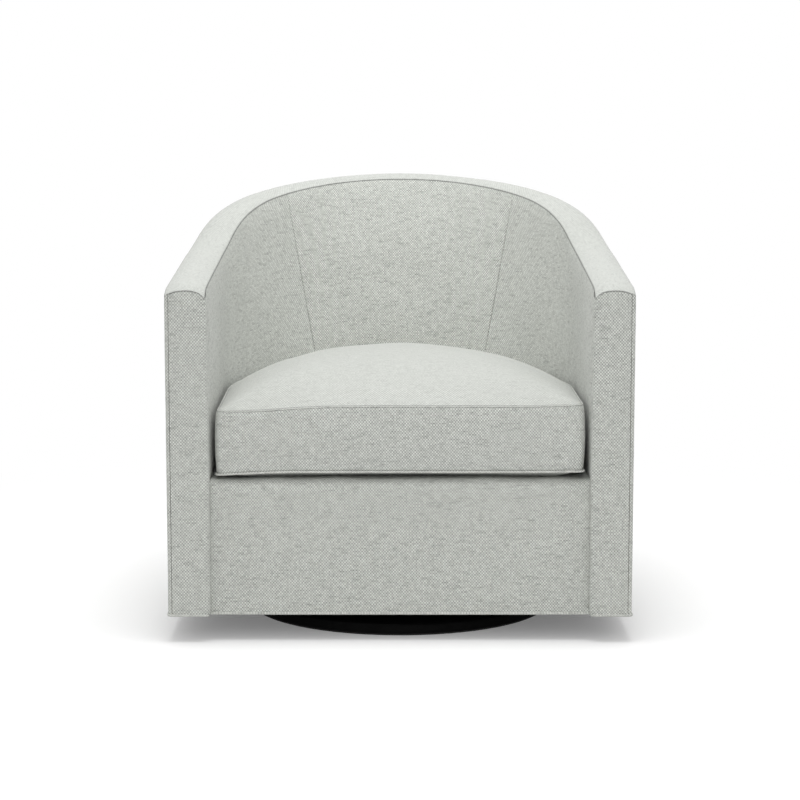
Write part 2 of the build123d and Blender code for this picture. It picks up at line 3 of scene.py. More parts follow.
import bmesh
import bpy
import numpy as np
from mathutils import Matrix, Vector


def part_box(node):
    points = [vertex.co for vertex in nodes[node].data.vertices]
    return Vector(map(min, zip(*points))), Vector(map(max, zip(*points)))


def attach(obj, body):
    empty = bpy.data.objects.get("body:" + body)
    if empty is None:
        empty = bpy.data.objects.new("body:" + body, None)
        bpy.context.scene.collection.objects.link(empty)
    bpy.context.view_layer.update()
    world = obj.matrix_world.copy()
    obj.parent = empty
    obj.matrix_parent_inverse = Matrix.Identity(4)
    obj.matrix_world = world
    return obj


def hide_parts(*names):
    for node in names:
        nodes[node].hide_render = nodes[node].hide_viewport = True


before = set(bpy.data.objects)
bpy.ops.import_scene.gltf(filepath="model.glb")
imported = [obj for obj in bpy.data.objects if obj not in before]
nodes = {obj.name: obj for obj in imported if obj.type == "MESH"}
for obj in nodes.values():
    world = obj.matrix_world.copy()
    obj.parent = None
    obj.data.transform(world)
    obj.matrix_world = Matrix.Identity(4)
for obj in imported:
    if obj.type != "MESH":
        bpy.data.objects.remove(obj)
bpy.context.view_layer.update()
print("frame loaded,", len(nodes), "nodes")

# The chair's own sizes in metres. What the frame can say is read from it.
coverLow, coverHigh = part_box("outside_cover")
chair = {
    "half": coverHigh.x,
    "front": coverLow.y,
    "back": coverHigh.y,
    "hem": coverLow.z,
    "radius": 0.3784,  # of the back, seen from above
    "turn": math.radians(30.0),  # how far the sides have turned where the back arc starts
    "wall": 0.068,
    "topLine": ((0.0, 0.5993), (0.022, 0.6102), (0.4346, 0.6461), (0.5836, 0.7189), (0.805, 0.7697)),
    "topRadii": (0.110, 0.292, 0.704),
    "crown": 0.009,  # the band is this much higher along its middle
    "crownPower": 2.2,
    "lowStep": 0.0025,  # the lining stands in this much more at the deck
    "lowSetIn": 0.190,
    "lowRadius": 0.300,
    "lowSeam": 27.0,  # the inside seams, degrees each side of straight back
    "topSeam": 45.0,
    "deck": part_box("deck_pad")[1].z,
}
backTop = chair["topLine"][-1][1]  # height of the top line at the back
seatMiddle = np.array([0, 0.05])
outlineCount = 1201  # places on a finely sampled outline


# ---- curves and grids that the pieces share
def roundedLine(corners, radii, steps=24):
    # a run of straights with its inner corners rounded
    corners = np.array(corners)
    line = [corners[0]]
    for before, corner, after, radius in zip(corners, corners[1:], corners[2:], radii):
        into, out = (before - corner), (after - corner)
        into, out = into / np.linalg.norm(into), out / np.linalg.norm(out)
        half = math.acos(np.clip(into @ out, -1, 1)) / 2
        middle = corner + (into + out) / np.linalg.norm(into + out) * radius / math.sin(half)
        start, end = corner + into * radius / math.tan(half), corner + out * radius / math.tan(half)
        for share in np.linspace(0, 1, steps):
            spoke = (start - middle) * (1 - share) + (end - middle) * share
            line.append(middle + spoke / np.linalg.norm(spoke) * radius)
    line.append(corners[-1])
    return np.array(line)


topCurve = roundedLine(chair["topLine"], chair["topRadii"])


def topHeight(y):
    return np.interp(y - chair["front"], topCurve[:, 0], topCurve[:, 1])


def outline(u, half, back, radius, front=chair["front"]):
    # u runs 0..6: left straight, left side arc, left half of the back, and the same again on the right
    u = np.asarray(u, float)
    side, w = np.where(u > 3, 1.0, -1.0), np.where(u > 3, 6 - u, u)
    turn = chair["turn"]
    sideRadius = (half - radius * math.cos(turn)) / (1 - math.cos(turn))
    shoulder = back - sideRadius * math.sin(turn) - radius * (1 - math.sin(turn))
    angle = np.where(w < 2, np.clip(w - 1, 0, 1) * turn, turn + (w - 2) * (math.pi / 2 - turn))
    across = np.where(w < 2, half - sideRadius * (1 - np.cos(angle)), radius * np.cos(angle))
    along = np.where(w < 2, shoulder + sideRadius * np.sin(angle), back - radius + radius * np.sin(angle))
    along = np.where(w < 1, front + w * (shoulder - front), along)
    return side * across, along, side * np.cos(angle), np.sin(angle)


def wallOutline(u, inset=0.0):
    # the outside of the barrel drawn in by inset
    x, y, outX, outY = outline(u, chair["half"], chair["back"], chair["radius"])
    return x - inset * outX, y - inset * outY, outX, outY


def lengthAlong(points, axis):
    # distance run from the first row or column
    steps = np.linalg.norm(np.diff(points, axis=axis), axis=-1)
    start = np.zeros_like(np.take(steps, [0], axis))
    return np.concatenate([start, np.cumsum(steps, axis)], axis)


densePath = np.linspace(0, 6, outlineCount)
denseX, denseY, _, _ = wallOutline(densePath)
denseLength = lengthAlong(np.stack([denseX, denseY], -1), 0)


def placeAt(distance):
    # u for a distance run along the outside from the left arm front
    return np.interp(distance, denseLength, densePath)


edgeRows = np.array([0.0, 0.0003, 0.0007, 0.0012, 0.0020, 0.0034, 0.006])  # rows close to a seam


def spread(length, step):
    # places along a run from 0 to 1, close together at both seams
    inner = np.linspace(edgeRows[-1], length - edgeRows[-1], max(3, round(length / step)))
    return np.concatenate([edgeRows[:-1], inner, (length - edgeRows[:-1])[::-1]]) / length


def ripple(u, v, seed, size, height, waves=7):
    # soft seeded unevenness
    rng = np.random.default_rng(seed)
    total = np.zeros(np.broadcast(u, v).shape)
    for _ in range(waves):
        way, phase, scale = rng.uniform(0, math.tau), rng.uniform(0, math.tau), rng.uniform(0.7, 1.5)
        total += np.sin((u * math.cos(way) + v * math.sin(way)) * math.tau / (size * scale) + phase)
    return height * total / math.sqrt(waves)


def normalsOf(grid, facing):
    # unit normals, away from the middle of the chair where facing is 1
    normal = np.cross(np.gradient(grid, axis=1), np.gradient(grid, axis=0))
    normal /= np.linalg.norm(normal, axis=-1, keepdims=True) + 1e-12
    away = np.sum(normal * (grid - np.append(seatMiddle, 0)), -1).mean()
    return normal * (facing if away > 0 else -facing)


sewing = {
    "dark": 0.0015,  # the painted shade of a seam reaches about this far
    "waveFade": 0.02, "puckerSize": 0.017, "puckerReach": 0.010, "puckerStart": 0.002,
}


def sewn(grid, uv, look, facing=1, seams="lrbt"):
    # the grid as sewn cloth over padding: its edges roll into the seams, its field puffs and ripples
    # also returns the normals, and the painted shade near the seams: how much it darkens each point's colour
    normal = normalsOf(grid, facing)
    across, up = lengthAlong(grid, 1), lengthAlong(grid, 0)
    sides = {"l": across, "r": across[:, -1:] - across, "b": up, "t": up[-1:] - up}
    distance = np.minimum.reduce([sides[key] for key in seams])
    rise = look["puff"] * (1 - np.exp(-distance / look["reach"]))
    paintedShade, drop = np.zeros(across.shape), np.zeros(across.shape)
    for key in seams:
        sink = np.clip(1 - sides[key] / look["roll"], 0, 1)
        drop = np.maximum(drop, look["deep"][key] * (1 - np.sqrt(1 - sink**2)))
        # painted shade: the cloth's colour darkens close to each seam, where the groove lies in shade
        paintedShade = np.maximum(paintedShade, look["paintedShade"][key] * np.exp(-((sides[key] / sewing["dark"]) ** 2)))
    wave = ripple(uv[..., 0], uv[..., 1], look["seed"], look["size"], look["wave"])
    pucker = ripple(uv[..., 0], uv[..., 1], look["seed"] + 50, sewing["puckerSize"], look["pucker"])
    pucker *= np.exp(-distance / sewing["puckerReach"]) * (1 - np.exp(-distance / sewing["puckerStart"]))
    rise += wave * (1 - np.exp(-distance / sewing["waveFade"])) + pucker - drop
    return grid + normal * rise[..., None], normal, paintedShade


def gridQuads(index):
    return np.stack([index[:-1, :-1], index[:-1, 1:], index[1:, 1:], index[1:, :-1]], -1).reshape(-1, 4)


def ringQuads(index):
    # the last column joins the first
    return gridQuads(np.concatenate([index, index[:, :1]], 1))


def torusQuads(index):
    # and the last row joins the first
    return ringQuads(np.concatenate([index, index[:1]]))


def shell(front, back, uv, paintedShade=None):
    # two grids closed along their rims
    rows, cols = front.shape[:2]
    index = np.arange(rows * cols).reshape(rows, cols)
    quads = gridQuads(index)
    rim = np.concatenate([index[0], index[1:, -1], index[-1, -2::-1], index[-2:0:-1, 0]])
    ahead = np.roll(rim, -1)
    sides = np.stack([ahead, rim, rim + rows * cols, ahead + rows * cols], -1)
    points = np.concatenate([front.reshape(-1, 3), back.reshape(-1, 3)])
    flat = np.concatenate([uv.reshape(-1, 2)] * 2)
    faces = np.concatenate([quads, quads[:, ::-1] + rows * cols, sides])
    if paintedShade is None:
        return points, faces, flat
    return points, faces, flat, np.tile(paintedShade.ravel(), 2)


def ring(loops, uv):
    # closed loops joined one after the other, the first and the last closed with a fan
    rows, cols = loops.shape[:2]
    index = np.arange(rows * cols).reshape(rows, cols)
    ahead = np.roll(index, -1, 1)
    faces = [tuple(quad) for quad in ringQuads(index)]
    points = np.concatenate([loops.reshape(-1, 3), [loops[0].mean(0)], [loops[-1].mean(0)]])
    flat = np.concatenate([uv.reshape(-1, 2), [uv[0].mean(0)], [uv[-1].mean(0)]])
    faces += [(ahead[0, i], index[0, i], rows * cols) for i in range(cols)]
    faces += [(index[-1, i], ahead[-1, i], rows * cols + 1) for i in range(cols)]
    return points, faces, flat


def tube(path, radius, sides=12, closed=False):
    # a round welt along a level path
    path = np.asarray(path)
    if closed:
        ahead = np.roll(path, -1, 0) - np.roll(path, 1, 0)
    else:
        ahead = np.gradient(path, axis=0)
    ahead /= np.linalg.norm(ahead, axis=1, keepdims=True)
    right = np.cross(ahead, [0, 0, 1.0])
    right /= np.linalg.norm(right, axis=1, keepdims=True)
    up = np.cross(right, ahead)
    turns = np.linspace(0, math.tau, sides, endpoint=False)
    spokes = np.cos(turns)[:, None] * right[:, None] + np.sin(turns)[:, None] * up[:, None]
    loops = path[:, None] + radius * spokes
    run = lengthAlong(path, 0)
    uv = np.stack(np.broadcast_arrays(run[:, None], turns * radius), -1)
    if not closed:
        return ring(loops, uv)
    faces = torusQuads(np.arange(loops.shape[0] * sides).reshape(-1, sides))
    return loops.reshape(-1, 3), faces, uv.reshape(-1, 2)


def makePiece(name, parts, material, body, replaced, subdivide=0):
    # one Blender object from points, faces and flat coordinates, riding on its body
    points, faces, flat, *paintedShades = parts
    mesh = bpy.data.meshes.new(name)
    mesh.from_pydata([tuple(point) for point in points], [], [tuple(map(int, face)) for face in faces])
    piece = bpy.data.objects.new(name, mesh)
    bpy.context.scene.collection.objects.link(piece)
    layer = mesh.uv_layers.new(name="cloth")
    corners = np.empty(len(mesh.loops), int)
    mesh.loops.foreach_get("vertex_index", corners)
    layer.data.foreach_set("uv", np.asarray(flat, float)[corners].ravel())
    # the painted shade near the seams goes to a point attribute that darkens the cloth's colour
    if paintedShades:
        mesh.attributes.new("paintedSeamShade", "FLOAT", "POINT").data.foreach_set("value", np.asarray(paintedShades[0], float))
    fixed = bmesh.new()
    fixed.from_mesh(mesh)
    bmesh.ops.recalc_face_normals(fixed, faces=fixed.faces)
    fixed.to_mesh(mesh)
    fixed.free()
    mesh.polygons.foreach_set("use_smooth", [True] * len(mesh.polygons))
    mesh.materials.append(material)
    if subdivide:
        piece.modifiers.new("smooth", "SUBSURF").levels = subdivide
        piece.modifiers["smooth"].render_levels = subdivide
    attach(piece, body)
    if replaced:
        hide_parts(*replaced)
    return piece


# ---- shader helpers
def addNode(tree, kind, inputs=None, **settings):
    made = tree.nodes.new(kind)
    for name, value in settings.items():
        setattr(made, name, value)
    for key, value in (inputs or {}).items():
        if isinstance(value, bpy.types.NodeSocket):
            tree.links.new(value, made.inputs[key])
        else:
            made.inputs[key].default_value = value
    return made


def maths(tree, operation, first, second=0.0, third=0.0):
    return addNode(tree, "ShaderNodeMath", {0: first, 1: second, 2: third}, operation=operation).outputs[0]


def mixColours(tree, factor, first, second, blend="MIX"):
    made = addNode(tree, "ShaderNodeMix", data_type="RGBA", blend_type=blend)
    for socket, value in ((made.inputs[0], factor), (made.inputs[6], first), (made.inputs[7], second)):
        if isinstance(value, bpy.types.NodeSocket):
            tree.links.new(value, socket)
        else:
            socket.default_value = value
    return made.outputs[2]


def noise(tree, vector, scale, detail=3.0, roughness=0.55):
    inputs = {"Vector": vector, "Scale": scale, "Detail": detail, "Roughness": roughness}
    return addNode(tree, "ShaderNodeTexNoise", inputs).outputs["Fac"]


def stretched(tree, vector, scale):
    return addNode(tree, "ShaderNodeMapping", {"Vector": vector, "Scale": scale}).outputs[0]


def tinted(tree, colour, gain):
    # a colour made lighter or darker
    grey = addNode(tree, "ShaderNodeCombineXYZ", {0: gain, 1: gain, 2: gain}).outputs[0]
    return mixColours(tree, 1.0, colour, grey, "MULTIPLY")


def chance(tree, first, second):
    # one random value for each pair of whole numbers
    pair = addNode(tree, "ShaderNodeCombineXYZ", {0: first, 1: second}).outputs[0]
    return addNode(tree, "ShaderNodeTexWhiteNoise", {"Vector": pair}, noise_dimensions="2D").outputs["Value"]


def newGroup(name, inputs, outputs):
    # a node group with its named sockets; each input is name, kind, value
    group = bpy.data.node_groups.new(name, "ShaderNodeTree")
    for label, kind, value in inputs:
        socket = group.interface.new_socket(label, in_out="INPUT", socket_type="NodeSocket" + kind)
        if value is not None:
            socket.default_value = value
    for label, kind in outputs:
        group.interface.new_socket(label, in_out="OUTPUT", socket_type="NodeSocket" + kind)
    return group, group.nodes.new("NodeGroupInput").outputs, group.nodes.new("NodeGroupOutput").inputs


weave = {
    "stray": 0.0008,  # the threads wander this far in all
    "contrast": 0.30, "patches": 0.8,  # the two tones part more here and less there
    "dashes": 0.22, "dashPower": 6.0, "dashDepth": -0.65,  # a few dark stretches of thread
    "slubs": 0.9, "level": 1.02, "broad": 0.06, "relief": 0.6,
}


def makeWeave():
    # two-tone basket weave on flat cloth coordinates in metres, with slubs and uneven threads
    group, given, result = newGroup(
        "basketWeave",
        [("Cloth", "Vector", None), ("Cell Width", "Float", 0.00243), ("Cell Height", "Float", 0.0027),
         ("Dark", "Color", (0.4, 0.4, 0.4, 1)), ("Light", "Color", (0.6, 0.6, 0.6, 1)),
         ("Slub", "Float", 0.1), ("Seam", "Float", 0.0)],
        [("Color", "Color"), ("Height", "Float")],
    )
    cloth = given["Cloth"]
    parts = addNode(group, "ShaderNodeSeparateXYZ", {0: cloth})
    wander = noise(group, stretched(group, cloth, (30, 55, 1)), 1.0, 2.0)
    shift = maths(group, "MULTIPLY_ADD", wander, weave["stray"], -weave["stray"] / 2)
    across = maths(group, "DIVIDE", maths(group, "ADD", parts.outputs[0], shift), given["Cell Width"])
    up = maths(group, "DIVIDE", maths(group, "ADD", parts.outputs[1], shift), given["Cell Height"])
    sines = [maths(group, "SINE", maths(group, "MULTIPLY", way, math.pi)) for way in (across, up)]
    patch = noise(group, stretched(group, cloth, (40, 90, 1)), 1.0, 3.0, 0.6)
    contrast = maths(group, "MULTIPLY_ADD", patch, weave["patches"], weave["contrast"])
    checker = maths(group, "MULTIPLY_ADD", maths(group, "MULTIPLY", *sines), contrast, 0.5)
    checker = addNode(group, "ShaderNodeClamp", {"Value": checker}).outputs[0]
    colour = mixColours(group, checker, given["Dark"], given["Light"])
    row, column = maths(group, "FLOOR", up), maths(group, "FLOOR", across)
    knot = maths(group, "SUBTRACT", chance(group, column, row), 0.5)  # each crossing lighter or darker
    stretch = maths(group, "MULTIPLY", across, weave["dashes"])
    dash = maths(group, "FLOOR", maths(group, "MULTIPLY_ADD", chance(group, row, 7.0), 9.0, stretch))
    dash = maths(group, "POWER", chance(group, dash, row), weave["dashPower"])
    slub = maths(group, "SUBTRACT", noise(group, stretched(group, cloth, (80, 620, 1)), 1.0, 2.0), 0.5)
    broad = noise(group, stretched(group, cloth, (9, 13, 1)), 1.0, 3.0)
    spots = maths(group, "MULTIPLY_ADD", dash, weave["dashDepth"], knot)
    spots = maths(group, "MULTIPLY_ADD", slub, weave["slubs"], spots)
    gain = maths(group, "MULTIPLY_ADD", spots, given["Slub"], weave["level"])
    broad = maths(group, "MULTIPLY_ADD", broad, weave["broad"], 1 - weave["broad"] / 2)
    gain = maths(group, "MULTIPLY", gain, broad)
    # painted shade along the seams darkens the colour
    gain = maths(group, "MULTIPLY", gain, maths(group, "SUBTRACT", 1.0, given["Seam"]))
    group.links.new(tinted(group, colour, gain), result["Color"])
    group.links.new(maths(group, "MULTIPLY_ADD", checker, weave["relief"], slub), result["Height"])
    return group


def makeFibres():
    # short felted fibres on object coordinates
    group, given, result = newGroup(
        "fibres",
        [("Place", "Vector", None), ("Grain", "Float", 900.0), ("Base", "Color", (0.5, 0.5, 0.5, 1)),
         ("Contrast", "Float", 0.3)],
        [("Color", "Color"), ("Height", "Float")],
    )
    fine = noise(group, given["Place"], given["Grain"], 4.0, 0.7)
    broad = noise(group, given["Place"], 22.0, 3.0)
    both = maths(group, "MULTIPLY_ADD", maths(group, "ADD", fine, broad), given["Contrast"], 1.0)
    gain = maths(group, "SUBTRACT", both, given["Contrast"])
    group.links.new(tinted(group, given["Base"], gain), result["Color"])
    group.links.new(fine, result["Height"])
    return group


def makeGrain():
    # wood fibres and growth bands, running along X
    group, given, result = newGroup(
        "woodGrain",
        [("Place", "Vector", None), ("Early", "Color", (0.6, 0.5, 0.4, 1)),
         ("Late", "Color", (0.4, 0.3, 0.2, 1)), ("Bands", "Float", 1.0)],
        [("Color", "Color"), ("Height", "Float")],
    )
    lines = noise(group, stretched(group, given["Place"], (6, 150, 150)), 1.0, 5.0, 0.6)
    bands = noise(group, stretched(group, given["Place"], (1.5, 26, 26)), given["Bands"], 2.0)
    rings = maths(group, "SINE", maths(group, "MULTIPLY", bands, 40.0))
    rings = maths(group, "MULTIPLY_ADD", rings, 0.25, 0.25)
    both = maths(group, "ADD", rings, maths(group, "MULTIPLY", lines, 0.6))
    factor = addNode(group, "ShaderNodeClamp", {"Value": both}).outputs[0]
    group.links.new(mixColours(group, factor, given["Early"], given["Late"]), result["Color"])
    group.links.new(lines, result["Height"])
    return group


def makeBrush():
    # fine drawing marks and a little tarnish on metal
    group, given, result = newGroup(
        "metalMarks",
        [("Place", "Vector", None), ("Base", "Color", (0.6, 0.6, 0.6, 1)), ("Rough", "Float", 0.35),
         ("Spread", "Float", 0.2)],
        [("Color", "Color"), ("Roughness", "Float"), ("Height", "Float")],
    )
    marks = noise(group, stretched(group, given["Place"], (40, 900, 900)), 1.0, 3.0)
    cloud = noise(group, given["Place"], 45.0, 4.0)
    gain = maths(group, "MULTIPLY_ADD", cloud, 0.3, 0.85)
    group.links.new(tinted(group, given["Base"], gain), result["Color"])
    uneven = maths(group, "SUBTRACT", cloud, 0.5)
    rough = maths(group, "MULTIPLY_ADD", uneven, given["Spread"], given["Rough"])
    group.links.new(rough, result["Roughness"])
    group.links.new(marks, result["Height"])
    return group


weaveGroup, fibreGroup, grainGroup, brushGroup = makeWeave(), makeFibres(), makeGrain(), makeBrush()


def finishMaterial(name, group, values, bump, depth, coordinate="Object", **sockets):
    # a Principled material fed by one of the groups; sockets are set on the shader itself
    material = bpy.data.materials.new(name)
    material.use_nodes = True
    tree = material.node_tree
    shader = tree.nodes["Principled BSDF"]
    effect = addNode(tree, "ShaderNodeGroup", node_tree=group)
    if coordinate == "Cloth":
        place = addNode(tree, "ShaderNodeUVMap", uv_map="cloth").outputs[0]
        # the painted shade along the seams, read from the piece
        paintedSeamShade = addNode(tree, "ShaderNodeAttribute", attribute_name="paintedSeamShade").outputs["Fac"]
        tree.links.new(paintedSeamShade, effect.inputs["Seam"])
    else:
        place = addNode(tree, "ShaderNodeTexCoord").outputs[coordinate]
    tree.links.new(place, effect.inputs[0])
    for key, value in values.items():
        effect.inputs[key].default_value = value
    tree.links.new(effect.outputs["Color"], shader.inputs["Base Color"])
    if "Roughness" in effect.outputs:
        tree.links.new(effect.outputs["Roughness"], shader.inputs["Roughness"])
    relief = {"Strength": bump, "Distance": depth, "Height": effect.outputs["Height"]}
    raised = addNode(tree, "ShaderNodeBump", relief)
    tree.links.new(raised.outputs[0], shader.inputs["Normal"])
    for key, value in sockets.items():
        shader.inputs[key.replace("_", " ")].default_value = value
    return material


clothLook = {"Cell Width": 0.00243, "Cell Height": 0.0027, "Slub": 0.30}
softSurface = {"Roughness": 0.88, "Sheen_Weight": 0.12, "Sheen_Roughness": 0.45, "Specular_IOR_Level": 0.25}


def clothMaterial(name, dark, light, bump=0.5, depth=0.0006, **changed):
    # the chair's woven cloth in its two tones
    values = dict(clothLook, Dark=(*dark, 1), Light=(*light, 1), **changed)
    return finishMaterial(name, weaveGroup, values, bump, depth, "Cloth", **softSurface)


def fibreMaterial(name, colour, grain, contrast, bump, depth, roughness):
    values = {"Base": (*colour, 1), "Grain": grain, "Contrast": contrast}
    return finishMaterial(name, fibreGroup, values, bump, depth, Roughness=roughness)


def woodMaterial(name, early, late, bump, depth, **sockets):
    values = {"Early": (*early, 1), "Late": (*late, 1)}
    return finishMaterial(name, grainGroup, values, bump, depth, **sockets)


def metalMaterial(name, colour, rough, uneven, bump, depth):
    values = {"Base": (*colour, 1), "Rough": rough, "Spread": uneven}
    return finishMaterial(name, brushGroup, values, bump, depth, Metallic=1.0)


chairCloth = clothMaterial("chairCloth", (0.325, 0.335, 0.310), (0.668, 0.684, 0.646))
cushionCloth = clothMaterial("cushionCloth", (0.33, 0.34, 0.315), (0.675, 0.69, 0.655))
# for the faces that look up: a copy of the cloth a little darker and with less contrast between its threads,
# painted for how the light falls on top; its bump is flatter too
litTopCloth = clothMaterial("litTopCloth", (0.405, 0.415, 0.39), (0.56, 0.575, 0.546), 0.3, 0.0004, Slub=0.14)
weltCloth = clothMaterial("weltCloth", (0.42, 0.43, 0.40), (0.62, 0.635, 0.60), 0.4, 0.0004)
deckFelt = fibreMaterial("deckFelt", (0.47, 0.47, 0.45), 1200.0, 0.3, 0.4, 0.0006, 0.95)
liningCloth = fibreMaterial("liningCloth", (0.03, 0.03, 0.03), 1500.0, 0.6, 0.3, 0.0003, 0.9)
blackFelt = fibreMaterial("blackFelt", (0.015, 0.015, 0.015), 1300.0, 0.6, 0.5, 0.0006, 1.0)
fibreBoard = fibreMaterial("fibreBoard", (0.27, 0.18, 0.10), 500.0, 0.4, 0.25, 0.0004, 0.85)
cagePlastic = fibreMaterial("cagePlastic", (0.70, 0.66, 0.52), 300.0, 0.08, 0.05, 0.0002, 0.45)
blackWood = woodMaterial("blackWood", (0.0045, 0.0045, 0.0045), (0.002, 0.002, 0.002), 0.12, 0.0003,
                         Roughness=0.75, Specular_IOR_Level=0.05)
frameWood = woodMaterial("frameWood", (0.62, 0.46, 0.28), (0.38, 0.25, 0.13), 0.2, 0.0004, Roughness=0.65)
zincSteel = metalMaterial("zincSteel", (0.52, 0.53, 0.55), 0.38, 0.25, 0.08, 0.0002)
polishedSteel = metalMaterial("polishedSteel", (0.68, 0.69, 0.71), 0.14, 0.08, 0.03, 0.0001)
zipperLook = {"Dark": (0.26, 0.28, 0.25, 1), "Light": (0.40, 0.42, 0.39, 1), "Cell Width": 0.0006,
              "Cell Height": 0.0006, "Slub": 0.1}
zipperTape = finishMaterial("zipperTape", weaveGroup, zipperLook, 0.3, 0.0002, "Cloth", Roughness=0.8)
print("materials made")

nodeFinish = {
    blackWood: ["base_disc"],
    frameWood: ["bottom_board", "front_rail", "arm_post_left", "arm_post_right", "seat_ring", "corner_blocks",
                "back_posts", "arm_rail_left", "arm_rail_right", "back_rail"],
    fibreBoard: ["outside_board"],
    zincSteel: ["lower_swivel_plate", "upper_swivel_plate", "pivot_pin", "plate_screws", "plate_bolts",
                "tee_nuts", "seat_springs", "spring_clips", "zipper_slider"],
    polishedSteel: ["bearing_balls"],
    cagePlastic: ["ball_cage"],
}
for material, names in nodeFinish.items():
    for name in names:
        for place in nodes[name].material_slots:
            place.material = material

# ---- band over the top of the arms and back
band = {
    "roll": 0.0016, "puff": 0.0012, "reach": 0.012, "size": 0.16, "wave": 0.0006, "pucker": 0.0003, "seed": 3,
    "deep": {"l": 0.0016, "r": 0.0016, "b": 0.0018, "t": 0.0030},  # how far it rolls in at each seam
    # painted shade at each seam: how much it darkens the cloth's colour there
    "paintedShade": {"l": 0.7, "r": 0.7, "b": 0.35, "t": 0.6},
    "step": 0.008, "insetStep": 0.0055,
    "depth": 0.0215, "thinnest": 0.002,  # cloth and padding down to the rails
    "sideIn": 0.0085, "liningIn": 0.003, "frontIn": 0.026,  # the padding stands in from the seams
    "armsFrom": 0.2,  # what lies further out than this is arm
    "cornerDrop": 0.006, "cornerWidth": 0.014, "cornerFade": 0.020,  # rounded inner corner at the arm fronts
}


def bandHeight(u, inset):
    # level across the wall apart from the crown
    _, y, _, _ = wallOutline(u)
    share = inset / chair["wall"]
    height = topHeight(y) - chair["crown"] * np.abs(2 * share - 1) ** chair["crownPower"]
    near = np.clip((inset - chair["wall"] + band["cornerWidth"]) / band["cornerWidth"], 0, 1) ** 2
    return height - band["cornerDrop"] * near * np.exp(-(y - chair["front"]) / band["cornerFade"])


bandPlaces = placeAt(spread(denseLength[-1], band["step"]) * denseLength[-1])
bandInsets = spread(chair["wall"], band["insetStep"]) * chair["wall"]
bandU, bandIn = np.meshgrid(bandPlaces, bandInsets)
bandX, bandY, _, _ = wallOutline(bandU, bandIn)
bandGrid = np.stack([bandX, bandY, bandHeight(bandU, bandIn)], -1)
middleRun = lengthAlong(bandGrid[len(bandInsets) // 2], 0)
bandFlat = np.stack(np.broadcast_arrays(middleRun[None], bandIn), -1)
bandTop, _, bandPaintedShade = sewn(bandGrid, bandFlat, band)
lowIn = band["sideIn"] + (bandIn / chair["wall"]) * (chair["wall"] - band["sideIn"] - band["liningIn"])
lowX, lowY, _, _ = wallOutline(bandU, lowIn)
armY = np.maximum(lowY, chair["front"] + band["frontIn"])
lowY = np.where(np.abs(bandX) > band["armsFrom"], armY, lowY)
lowZ = np.minimum(topHeight(wallOutline(bandU)[1]) - band["depth"], bandTop[..., 2] - band["thinnest"])
topBand = makePiece(
    "topBand", shell(bandTop, np.stack([lowX, lowY, lowZ], -1), bandFlat, bandPaintedShade), litTopCloth, "chair",
    ["top_band", "band_pad"],
)
print("band sewn")

# ---- arm front panels, which turn the inner corner
armFront = {
    "roll": 0.0012, "puff": 0.0022, "reach": 0.014, "size": 0.11, "wave": 0.0005, "pucker": 0.0003,
    "seed": 11,
    "deep": {"l": 0.0008, "r": 0.0008, "b": 0.0008, "t": 0.0018},
    "paintedShade": {"l": 0.0, "r": 0.0, "b": 0.0, "t": 0.75},
    "seamIn": 0.0063,  # the outer seam lies this far in from the side
    "corner": 0.006,
    "return": 0.020,  # and the panel runs this far back round it
    "thick": 0.004, "step": 0.0045, "rowRun": 0.55, "rowStep": 0.011,
}


def liningShape(share):
    # half width, back and back radius of the lining, where share is 0 at the deck and 1 at the band
    wall = chair["wall"]
    low = (chair["half"] - wall - chair["lowStep"], chair["back"] - chair["lowSetIn"], chair["lowRadius"])
    top = (chair["half"] - wall, chair["back"] - wall, chair["radius"] - wall)
    return [a + share * (b - a) for a, b in zip(low, top)]


def liningShare(height):
    return (height - chair["deck"]) / (backTop - chair["deck"])


def armPanel(side, name, node):
    face = chair["wall"] - armFront["seamIn"] - armFront["corner"]
    arc = armFront["corner"] * math.pi / 2
    run = face + arc + armFront["return"] - armFront["corner"]
    places = spread(run, armFront["step"]) * run
    angle = np.clip((places - face) / armFront["corner"], 0, math.pi / 2)
    straight = np.clip(places, 0, face)
    insets = armFront["seamIn"] + straight + armFront["corner"] * np.sin(angle)
    backs = armFront["corner"] * (1 - np.cos(angle)) + np.clip(places - face - arc, 0, None)
    y = chair["front"] + backs
    u = (y - chair["front"]) / (wallOutline(1.0)[1] - chair["front"])
    tops = bandHeight(u, np.minimum(insets, chair["wall"]))
    rows = spread(armFront["rowRun"], armFront["rowStep"])
    z = chair["hem"] + rows[:, None] * (tops - chair["hem"])[None]
    liningHalf = liningShape(np.clip(liningShare(z), 0, 1))[0]
    lean = (liningHalf - (chair["half"] - chair["wall"])) * (insets / chair["wall"])[None]
    x = side * (chair["half"] - insets[None] + lean)
    grid = np.stack([x, np.broadcast_to(y, z.shape), z], -1)
    flat = np.stack(np.broadcast_arrays(side * places[None], z), -1)
    front, normal, paintedShade = sewn(grid, flat, armFront)
    parts = shell(front, grid - normal * armFront["thick"], flat, paintedShade)
    piece = makePiece(name, parts, chairCloth, "chair", [node])


armPanel(-1, "armPanelLeft", "arm_panel_left")
armPanel(1, "armPanelRight", "arm_panel_right")

